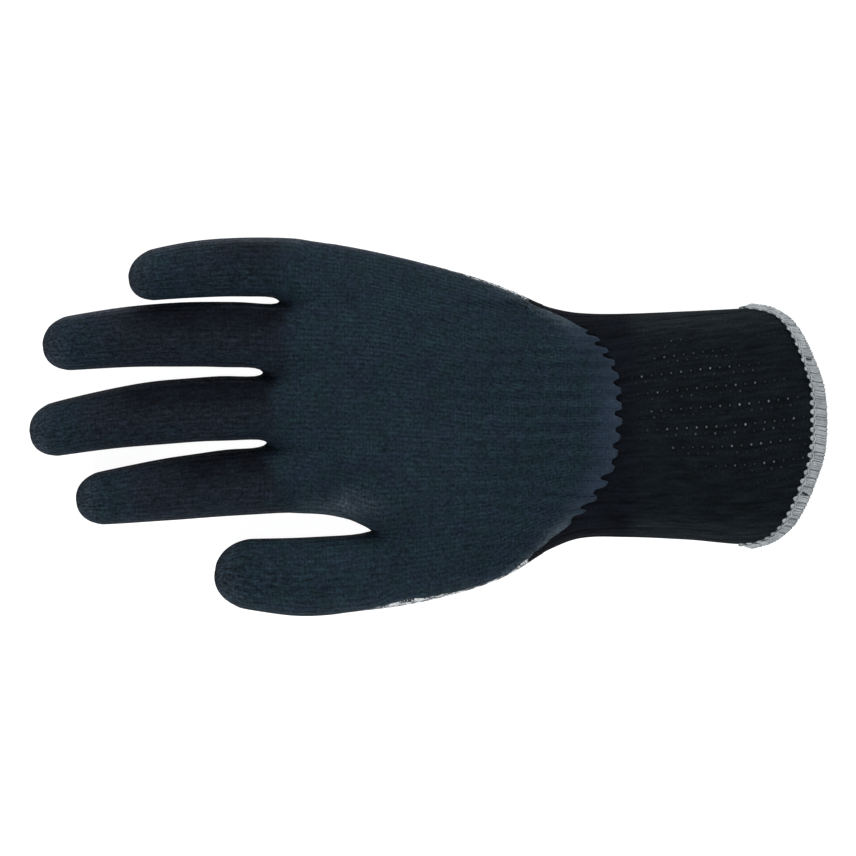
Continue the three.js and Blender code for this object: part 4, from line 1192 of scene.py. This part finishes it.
def tubes(paths, radius):
    """Closed tubes along many paths at once, from an array of (path, step, 3). Round a path the section is
    radius times cos a and sin a in the plane across it. Two four-sided faces close each end of six sides."""
    along = unit(np.gradient(paths, axis=1))
    first = unit(np.cross(along, (0.3, 0.5, 0.81)))
    second = np.cross(along, first)
    a = np.arange(6) * np.pi / 3
    circle = first[:, :, None] * np.cos(a)[:, None] + second[:, :, None] * np.sin(a)[:, None]
    radius = np.broadcast_to(radius, paths.shape[:2])[..., None, None]
    number = np.arange(circle[..., 0].size).reshape(circle.shape[:3])
    number = np.concatenate([number, number[:, :, :1]], axis=2)
    cells = [number[:, :-1, :-1], number[:, :-1, 1:], number[:, 1:, 1:], number[:, 1:, :-1]]
    lids = [number[:, end][:, corners] for end, corners in END_FACES]
    faces = np.vstack([np.stack(cells, -1).reshape(-1, 4), *lids])
    return (paths[:, :, None] + circle * radius).reshape(-1, 3), faces


def capped(shape, ends=0.04):
    """A thickness along a path: 1, falling off like a circle over a share of its length at both ends."""
    t = np.linspace(0, 1, shape[1])
    near = np.clip(np.minimum(t, 1 - t) / ends, 0, 1)
    return np.broadcast_to(np.maximum(np.sqrt(1 - (1 - near) ** 2), 0.03), shape)


def gather(parts):
    """One list of points and one of faces from several."""
    starts = np.cumsum([0] + [len(points) for points, _ in parts])
    return np.vstack([p for p, _ in parts]), np.vstack([f + start for (_, f), start in zip(parts, starts)])


a_tube = tubes(np.array([[[0.0, 0, 0], [1, 0, 0], [2, 0, 0]]]), 1.0)
print("a tube of three rings:", len(a_tube[0]), "points,", len(a_tube[1]), "faces")

# %% [markdown]
# Soft crimped thread lies over the band in flat, slanting strands, four to a stitch. A looper thread waves
# along the palm side, and each stitch leaves a small loop on the knit. They differ a little from each other,
# by random numbers from a fixed seed, because sewing is never even.

# %% Threads of the hem
STITCHES = 70
STRANDS_PER_STITCH = 4
STRAND = 0.4  # half the thickness of a strand
SLANT = -0.35  # a strand leans by this share of a stitch from its border to the edge
BUNCHING = 0.82  # the strands of a stitch lie this share of an even spacing apart
LOOPER_LINE = 0.1  # where the looper thread runs, as a share of the section
LOOPER_SWING = 0.028  # how far it swings to either side of that line
LOOPER_LIFT, LOOPER_BOB = 0.38, 0.12  # how high over the band it lies, and how much that rises and falls
LOOP_REACH = 0.1, 0.16  # how far the small loops reach onto the cuff, the least and the most of them
LOOPER, LOOP, YARN_END = 0.26, 0.58, 0.25  # half the thickness of the looper, a small loop and a yarn's end
BLACK_ENDS = table("turn lean", [(0.158, -0.005), (0.33, -0.002)])  # two ends of black yarn show there


def strands():
    """The strands: each slants over the section, a little out of step with its neighbours."""
    draw = np.random.default_rng(4)
    count = STITCHES * STRANDS_PER_STITCH
    s = np.linspace(LOOPER_LINE - 0.03, 0.9, 15)
    stitch, strand = np.divmod(np.arange(count), STRANDS_PER_STITCH)
    start = (stitch * STRANDS_PER_STITCH + strand * BUNCHING)[:, None] + draw.normal(0, 0.1, (count, 1))
    lean = SLANT * STRANDS_PER_STITCH * (s - LOOPER_LINE) / (0.5 - LOOPER_LINE)
    turn = even_turns((start + lean * (1 + draw.normal(0, 0.12, (count, 1)))) / count, MOUTH_CORNER)
    s = s + 0 * turn
    lift = HEM_LIFT - 0.1 + draw.normal(0, 0.04, (count, 1)) + 0 * turn
    radius = STRAND * draw.uniform(0.82, 1.05, (count, 1)) * capped(turn.shape)
    return tubes(hem_section(turn, s, lift), radius)


def looper():
    """The looper thread on the palm side: it waves along the binding once a stitch and closes on itself."""
    t = np.linspace(0, 1, STITCHES * 8 + 1)
    wave = np.sin(2 * np.pi * STITCHES * t)
    s = LOOPER_LINE + LOOPER_SWING * wave
    lift = HEM_LIFT + LOOPER_LIFT + LOOPER_BOB * np.cos(2 * np.pi * STITCHES * t)
    return tubes(hem_section(even_turns(t, MOUTH_CORNER), s, lift)[None], LOOPER)


def small_loops():
    """The loops on the knit: each leaves the looper line, turns round on the cuff and comes back."""
    draw = np.random.default_rng(8)
    a = np.linspace(0, np.pi, 9)
    k = np.arange(STITCHES)[:, None]
    reach = draw.uniform(*LOOP_REACH, (STITCHES, 1))
    turn = (k + 0.35 - 0.17 * np.cos(a) + draw.normal(0, 0.05, (STITCHES, 1))) / STITCHES
    turn = even_turns(turn, MOUTH_CORNER)
    size = (0.6 + 0.4 * np.abs(np.sin(turn * 2 * np.pi))) * (0.88 + 0.12 * np.cos(turn * 2 * np.pi))
    s = LOOPER_LINE - reach * np.sin(a) * size
    lift = 0.42 + 0.2 * np.sin(a) + 0 * turn
    return tubes(hem_section(turn, s, lift), LOOP * size * capped(turn.shape, 0.1))


def yarn_ends():
    """Two ends of the cuff's black yarn, caught under the strands and lying across them."""
    turn = BLACK_ENDS["turn"][:, None] + BLACK_ENDS["lean"][:, None] * np.linspace(-0.5, 0.5, 5)
    s = np.linspace(0.15, 0.37, 5) + 0 * turn
    return tubes(hem_section(turn, s, HEM_LIFT + 0.5 + 0 * s), YARN_END)


parts += [strands(), looper(), small_loops(), yarn_ends()]
part_number = np.repeat(np.arange(len(parts)), [len(points) for points, _ in parts])
marks_of_hem = {"black": part_number == len(parts) - 1, "band": part_number == 0}
hem_piece = make_object("overlock_hem", *gather(parts), marks=marks_of_hem)
print("hem:", len(hem_piece.data.polygons), "faces")

# %% [markdown]
# Materials next. Every colour is written as the sRGB hex value that the eye sees and turned to the linear
# light that the renderer counts in. One helper adds a node, sets it and links it. Nitrile rubber and
# polyester are no metals, and bend light about as much as Blender's default index of 1.5, so both settings
# stay; their surfaces are so rough that they hardly shine.


# %% Material helpers
def linear(code):
    """sRGB hex to linear: ((c + 0.055) / 1.055)^2.4, and c / 12.92 for the darkest."""
    values = [int(code[k : k + 2], 16) / 255 for k in (1, 3, 5)]
    return (*[c / 12.92 if c <= 0.04045 else ((c + 0.055) / 1.055) ** 2.4 for c in values], 1.0)


def add(tree, kind, inputs=None, out=0, **settings):
    """Adds a node, sets its properties, fills its inputs, each with a value or with a link from another
    node's output, and returns one of its own outputs."""
    node = tree.nodes.new("ShaderNode" + kind)
    for name, value in settings.items():
        setattr(node, name, value)
    for name, value in (inputs or {}).items():
        if isinstance(value, bpy.types.NodeSocket):
            tree.links.new(value, node.inputs[name])
        else:
            node.inputs[name].default_value = value
    return node.outputs[out]


def material(name, settings):
    """A new material whose Principled shader takes the settings, and its node tree."""
    made = bpy.data.materials.new(name)
    made.use_nodes = True
    for socket, value in settings.items():
        made.node_tree.nodes["Principled BSDF"].inputs[socket].default_value = value
    return made, made.node_tree


def wear(piece, made, colour, height, distance, strength):
    """Gives a piece a material with a colour, and with a bump that rises by the height times the distance,
    which is in metres."""
    tree = made.node_tree
    normal = add(tree, "Bump", {"Height": height, "Distance": distance, "Strength": strength})
    for socket, value in (("Base Color", colour), ("Normal", normal)):
        tree.links.new(value, tree.nodes["Principled BSDF"].inputs[socket])
    piece.data.materials.append(made)


print("dark rubber in linear light:", [round(c, 4) for c in linear("#212D36")[:3]])

# %% [markdown]
# The coating is nitrile foam, dipped and dried. Its skin is matt and sandy, because bubbles burst on it and
# leave pits, and the knit below shows through as soft lines. The bump adds up heights in millimetres: wales
# and courses, pits and a finer grain, and fine creases and broad furrows that run along the fingers. The
# pattern map counts wales and courses, so these follow the hand's shape; pits are measured in millimetres.

# %% Foam nitrile, its relief
PIT = 0.9  # real pits are half as wide; these are as coarse as they have to be to show
GRAIN = 0.4  # sand on the surface, near the width of a pixel
CREASES = (3.0, 0.3, 1.0)  # how many lie across a wale, and along a course
FURROWS = (0.8, 0.05, 1.0)
foam_nitrile, tree = material("foam_nitrile", {"Roughness": 0.7, "Specular IOR Level": 0.05})
in_mm = add(tree, "VectorMath", {0: add(tree, "TexCoord", out="Object"), 3: 1 / MM}, operation="SCALE")
knit = add(tree, "UVMap", uv_map="knit")
wale, course = (add(tree, "SeparateXYZ", {0: knit}, out=axis) for axis in (0, 1))
marks = {name: add(tree, "Attribute", out="Fac", attribute_name=name) for name in marks}
between_wales = add(tree, "Math", {0: wale, 1: 0.5}, operation="PINGPONG")
between_courses = add(tree, "Math", {0: course, 1: 0.5}, operation="PINGPONG")
pits = add(tree, "TexNoise", {"Vector": in_mm, "Scale": 1 / PIT, "Detail": 3.0, "Roughness": 0.65})
grain = add(tree, "TexNoise", {"Vector": in_mm, "Scale": 1 / GRAIN, "Detail": 2.0})
drawn_out = add(tree, "VectorMath", {0: knit, 1: CREASES}, operation="MULTIPLY")
creases = add(tree, "TexNoise", {"Vector": drawn_out, "Scale": 1.0, "Detail": 3.0, "Roughness": 0.6})
drawn_out = add(tree, "VectorMath", {0: knit, 1: FURROWS}, operation="MULTIPLY")
furrows = add(tree, "TexNoise", {"Vector": drawn_out, "Scale": 1.0, "Detail": 2.0, "Roughness": 0.5})
creased = add(tree, "Math", {0: marks["finger"], 1: 0.5, 2: 0.15}, operation="MULTIPLY_ADD")
furrowed = add(tree, "Math", {0: marks["finger"], 1: 1.2, 2: 0.2}, operation="MULTIPLY_ADD")
height = 0.0
for field, rise in (
    (between_wales, -0.2),
    (between_courses, -0.16),
    (pits, 0.75),
    (grain, 0.35),
    (creases, creased),
    (furrows, furrowed),
):
    height = add(tree, "Math", {0: field, 1: rise, 2: height}, operation="MULTIPLY_ADD")
print("foam's nodes so far:", len(tree.nodes))

# %% [markdown]
# The foam is a dark blue grey with faint stains, and turns to another hue at each of the marked places. A
# slow noise stands for the dip, which comes out unevenly: in some patches the hues are fuller, and the lines
# of the knit stand out more. The pits, creases, wales and courses also scale the colour, darker where they
# sink
# and paler where they rise: painted shade and painted glints on the relief. The glints of the pits are
# strongest on the fingertips, those of the creases on the fingers. At the wrist's rim all of this is calmer.

# %% Foam nitrile, its colours
CLOUD = 12.0  # size in mm of the dip's patches
STAIN = 5.0
# the fingers' hue is partly painted shade and the shade hue is painted shade; the tip, side and crotch hues
# are painted highlight and sheen
HUES = {
    "violet": "#1A1F28",
    "shade": "#0B0E15",
    "tip": "#2A333D",
    "rim": "#25303F",
    "side": "#30353E",
    "crotch_sheen": "#333D46",
    "edge": "#3B454D",
}
cloud = add(tree, "TexNoise", {"Vector": in_mm, "Scale": 1 / CLOUD, "Detail": 4.0, "Roughness": 0.6})
patchy, clouded, uneven = (
    add(tree, "MapRange", {0: cloud, 1: 0.35, 2: 0.65, 3: least, 4: most})
    for least, most in ((0.6, 1.2), (0.9, 1.1), (0.3, 1.3))
)
stain = add(tree, "TexNoise", {"Vector": in_mm, "Scale": 1 / STAIN, "Detail": 3.0, "Distortion": 0.5})
stain = add(tree, "MapRange", {"Value": stain, "From Min": 0.4, "From Max": 0.62})
colour = add(tree, "Mix", {0: stain, 6: linear("#1A2930"), 7: linear("#1B2632")}, out=2, data_type="RGBA")
for mark, hue in HUES.items():
    share = add(tree, "Math", {0: marks[mark], 1: patchy}, operation="MULTIPLY", use_clamp=True)
    colour = add(tree, "Mix", {0: share, 6: colour, 7: linear(hue)}, out=2, data_type="RGBA")
colour = add(tree, "VectorMath", {0: colour, 3: clouded}, operation="SCALE")
on_fingers = add(tree, "Math", {0: marks["finger"], 1: 1.3, 2: 1.2}, operation="MULTIPLY_ADD")
on_tips = add(tree, "Math", {0: marks["tip"], 1: 1.3, 2: 3.0}, operation="MULTIPLY_ADD")
calm = add(tree, "Math", {0: marks["rim"], 1: -0.7, 2: 1.0}, operation="MULTIPLY_ADD")
uneven = add(tree, "Math", {0: uneven, 1: calm}, operation="MULTIPLY")
# painted shade and glints: each field darkens the colour where its bump sinks and lightens it where it rises
for field, middle, amount, contrast in (
    (pits, 0.5, calm, on_tips),
    (creases, 0.5, calm, on_fingers),
    (between_wales, 0.25, uneven, -0.75),
    (between_courses, 0.25, uneven, -0.4),
):
    factor = add(tree, "Math", {0: field, 1: middle}, operation="SUBTRACT")
    factor = add(tree, "Math", {0: factor, 1: amount}, operation="MULTIPLY")
    factor = add(tree, "Math", {0: factor, 1: contrast, 2: 1.0}, operation="MULTIPLY_ADD")
    factor = add(tree, "Math", {0: factor, 1: 0.2}, operation="MAXIMUM")
    colour = add(tree, "VectorMath", {0: colour, 3: factor}, operation="SCALE")
wear(coat_piece, foam_nitrile, colour, height, MM, 1.0)
print("coating finished with", len(tree.nodes), "nodes")

# %% [markdown]
# The hand is knitted from a white and a black polyester yarn twisted together, so every stitch shows its own
# mix of the two. A stitch is a V: its rows slope up to either side of a wale's middle. The pattern map gives
# each stitch a number of its own, which picks its mix, and the same map shapes the bump. Near the cuff the
# last courses are already the cuff's black yarn.

# %% Marled knit
MARLED_FROM, BLACK_TO = 32.4, 31.6  # the two courses, counted from the cuff, between which the yarn changes
marled_yarn, tree = material("marled_yarn_knit", {"Roughness": 0.9, "Specular IOR Level": 0.05})
knit = add(tree, "UVMap", uv_map="knit")
wale, course = (add(tree, "SeparateXYZ", {0: knit}, out=axis) for axis in (0, 1))
from_crest = add(tree, "Math", {0: wale, 1: 0.5}, operation="PINGPONG")
slope = add(tree, "Math", {0: from_crest, 1: 1.6, 2: course}, operation="MULTIPLY_ADD")
leg = add(tree, "Math", {0: wale, 1: 2.0}, operation="MULTIPLY")
leg, row = (add(tree, "Math", {0: count}, operation="FLOOR") for count in (leg, slope))
stitch = add(tree, "CombineXYZ", {0: leg, 1: row})
mix = add(tree, "TexWhiteNoise", {"Vector": stitch}, noise_dimensions="3D")
yarn = add(tree, "TexNoise", {"Vector": knit, "Scale": 3.2, "Detail": 2.0})
mix = add(tree, "Math", {0: mix, 1: 0.25, 2: yarn}, operation="MULTIPLY_ADD")
white = add(tree, "MapRange", {"Value": mix, "From Min": 0.58, "From Max": 0.7})
black = add(tree, "MapRange", {"Value": course, "From Min": MARLED_FROM, "From Max": BLACK_TO})
colour = linear("#20252A")
for share, hue in ((white, "#CED2D5"), (black, "#0E1216")):
    colour = add(tree, "Mix", {0: share, 6: colour, 7: linear(hue)}, out=2, data_type="RGBA")
in_row = add(tree, "Math", {0: slope, 1: 0.5}, operation="PINGPONG")
height = 0.0
for field, rise in ((in_row, 0.5), (from_crest, -0.3), (yarn, 0.3)):
    height = add(tree, "Math", {0: field, 1: rise, 2: height}, operation="MULTIPLY_ADD")
wear(knit_piece, marled_yarn, colour, height, MM, 0.9)
print("knit finished with", len(tree.nodes), "nodes")

# %% [markdown]
# The cuff's yarn is black polyester round a rubber core, a little fluffy. Its wales show as fine, broken
# streaks. It is painted paler along the side folds, a painted sheen where the rib turns edge on, and darker
# next to the coating, a painted shadow of it.

# %% Rib knit, its yarn
STREAKS = (1.3, 0.1, 1.0)  # how many lie across a wale, and along a millimetre
rib_yarn, tree = material("rib_knit_polyester", {"Roughness": 0.85, "Specular IOR Level": 0.05})
knit = add(tree, "UVMap", uv_map="knit")
wale, length = (add(tree, "SeparateXYZ", {0: knit}, out=axis) for axis in (0, 1))
opened, coating_shadow, fold_sheen = (
    add(tree, "Attribute", out="Fac", attribute_name=name) for name in ("open", "coating_shadow", "fold_sheen")
)
streak_place = add(tree, "VectorMath", {0: knit, 1: STREAKS}, operation="MULTIPLY")
streak = add(tree, "TexNoise", {"Vector": streak_place, "Scale": 1.0, "Detail": 4.0, "Roughness": 0.65})
fluff = add(tree, "TexNoise", {"Vector": knit, "Scale": 1.6, "Detail": 3.0, "Roughness": 0.65})
colour = linear("#0E1317")
# painted sheen on the folds and painted shadow beside the coating
for share, hue in ((fold_sheen, "#171C20"), (coating_shadow, "#0B0E14")):
    colour = add(tree, "Mix", {0: share, 6: colour, 7: linear(hue)}, out=2, data_type="RGBA")
for noise, least, most in ((streak, 0.5, 1.5), (fluff, 0.65, 1.35)):
    factor = add(tree, "MapRange", {0: noise, 1: 0.32, 2: 0.68, 3: least, 4: most})
    colour = add(tree, "VectorMath", {0: colour, 3: factor}, operation="SCALE")
between = add(tree, "Math", {0: wale, 1: 0.5}, operation="PINGPONG")
height = streak
for field, rise in ((between, 0.15), (fluff, 0.5)):
    height = add(tree, "Math", {0: field, 1: rise, 2: height}, operation="MULTIPLY_ADD")
print("cuff's nodes so far:", len(tree.nodes))

# %% [markdown]
# Where the rib is stretched open, the light ground shows through pinholes in rows beside each groove, 3 mm
# apart, each with a dark rim, a painted shade round the hole. A hole lies where the square of the place
# across plus the square of the place along is small. Few are wide open: the fourth power of a random number
# sets how bright each one is, and a second number does so for its whole row. A third shifts the row along.

# %% Rib knit, its pinholes
HOLE_STEP = 3.1  # mm from one hole to the next in its row
WALE_WIDTH = 1.8  # of the stretched rib, in mm
SECOND_ROW = 0.3  # how much of it shows, next to the row on the groove's other side
hole_u = add(tree, "Math", {0: between, 1: -WALE_WIDTH, 2: WALE_WIDTH / 2}, operation="MULTIPLY_ADD")
cell_u = add(tree, "Math", {0: wale}, operation="FLOOR")
by_row = []
for seed in (-5.0, -9.0):
    place = add(tree, "CombineXYZ", {0: cell_u, 1: seed})
    by_row.append(add(tree, "TexWhiteNoise", {"Vector": place}, noise_dimensions="3D"))
stagger, row = by_row
length = add(tree, "Math", {0: stagger, 1: HOLE_STEP, 2: length}, operation="MULTIPLY_ADD")
hole_v = add(tree, "Math", {0: length, 1: HOLE_STEP / 2}, operation="PINGPONG")
square = add(tree, "Math", {0: hole_v, 1: hole_v}, operation="MULTIPLY")
square = add(tree, "Math", {0: hole_u, 1: hole_u, 2: square}, operation="MULTIPLY_ADD")
hole = add(tree, "MapRange", {"Value": square, "From Min": 0.17, "From Max": 0.03})
# painted shade round each hole
hole_shade = add(tree, "MapRange", {"Value": square, "From Min": 1.0, "From Max": 0.2})
in_rib = add(tree, "Math", {0: wale, 1: 3.0, 2: 0.0}, operation="WRAP")
first_row = add(tree, "Math", {0: in_rib, 1: 1.0}, operation="LESS_THAN")
second_row = add(tree, "Math", {0: in_rib, 1: 2.0}, operation="GREATER_THAN")
beside = add(tree, "Math", {0: second_row, 1: SECOND_ROW, 2: first_row}, operation="MULTIPLY_ADD")
cell_v = add(tree, "Math", {0: length, 1: 1 / HOLE_STEP, 2: 0.5}, operation="MULTIPLY_ADD")
cell_v = add(tree, "Math", {0: cell_v}, operation="FLOOR")
cell = add(tree, "CombineXYZ", {0: cell_u, 1: cell_v})
luck = add(tree, "TexWhiteNoise", {"Vector": cell}, noise_dimensions="3D")
luck = add(tree, "Math", {0: luck, 1: 4.0}, operation="POWER")
luck = add(tree, "Math", {0: luck, 1: 0.45, 2: 0.08}, operation="MULTIPLY_ADD")
row = add(tree, "Math", {0: row, 1: 0.6, 2: 0.4}, operation="MULTIPLY_ADD")
luck = add(tree, "Math", {0: luck, 1: row}, operation="MULTIPLY")
for spot, brightness, hue in ((hole_shade, 1.0, "#070A0D"), (hole, luck, "#B4BABE")):
    for factor in (beside, opened, brightness):
        spot = add(tree, "Math", {0: spot, 1: factor}, operation="MULTIPLY")
    colour = add(tree, "Mix", {0: spot, 6: colour, 7: linear(hue)}, out=2, data_type="RGBA")
wear(cuff_piece, rib_yarn, colour, height, MM, 0.6)
print("cuff finished with", len(tree.nodes), "nodes")

# %% [markdown]
# The binding is crimped polyester thread, light grey and soft, so each strand has a woolly face of fine
# filaments. They are too fine to show, so a noise of 0.3 mm, a pixel's width, stands for them.

# %% Crimped thread
WOOL = 0.3
THREAD_SHADE = 3.0  # size in mm of its lighter and darker places
thread_finish = {"Roughness": 0.85, "Specular IOR Level": 0.25}
crimped_thread, tree = material("crimped_polyester_thread", thread_finish)
in_mm = add(tree, "VectorMath", {0: add(tree, "TexCoord", out="Object"), 3: 1 / MM}, operation="SCALE")
wool = add(tree, "TexNoise", {"Vector": in_mm, "Scale": 1 / WOOL, "Detail": 3.0})
shade = add(tree, "TexNoise", {"Vector": in_mm, "Scale": 1 / THREAD_SHADE, "Detail": 2.0})
both = add(tree, "Math", {0: wool, 1: 0.6, 2: shade}, operation="MULTIPLY_ADD")
lit = add(tree, "MapRange", {"Value": both, "From Min": 0.6, "From Max": 1.0})
band, black = (add(tree, "Attribute", out="Fac", attribute_name=name) for name in ("band", "black"))
colour = linear("#83898D")
# the band under the strands is painted darker, as the shade in the gaps between them
for share, hue in ((lit, "#AAAFB1"), (band, "#666C70"), (black, "#0C0E10")):
    colour = add(tree, "Mix", {0: share, 6: colour, 7: linear(hue)}, out=2, data_type="RGBA")
wear(hem_piece, crimped_thread, colour, wool, WOOL * MM, 0.7)
print("binding finished with", len(tree.nodes), "nodes")

# %% [markdown]
# The floor is a sheet of white card. Part of its light is its own, so it stays white up to the glove, and
# part is reflected, so a faint shadow still grounds it.

# %% Floor
FLOOR_HALF, FLOOR_TOP = 3000.0, -0.3  # half a side, and its height, just under the glove
corners = np.array([[-1, -1, 0], [1, -1, 0], [1, 1, 0], [-1, 1, 0]]) * FLOOR_HALF
floor = make_object("white_card", corners + [0, 0, FLOOR_TOP], np.array([[0, 1, 2, 3]]))
card_paper, _ = material("card_paper", {
    "Roughness": 1.0,
    "Specular IOR Level": 0.0,
    "Base Color": linear("#A0A0A0"),
    "Emission Color": linear("#FFFFFF"),
    "Emission Strength": 0.92,
})
floor.data.materials.append(card_paper)
print("floor's side in metres:", 2 * FLOOR_HALF * MM)

# %% [markdown]
# Each piece rides on the glove's one body and takes the place of the plain solids that show the same part.
# The two boxes are kept, to compare the dressed glove with the plain one.

# %% Hand over
for piece, finish, *solids in (
    (coat_piece, "coating", "palm_coating"),
    (knit_piece, "knit", "knit_palm", *[f"knit_{name}" for name in NAMES]),
    (cuff_piece, "rib", "knit_cuff"),
    (hem_piece, "hem_thread", "hem_overlock"),
):
    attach(piece, "root")
    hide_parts(*solids)
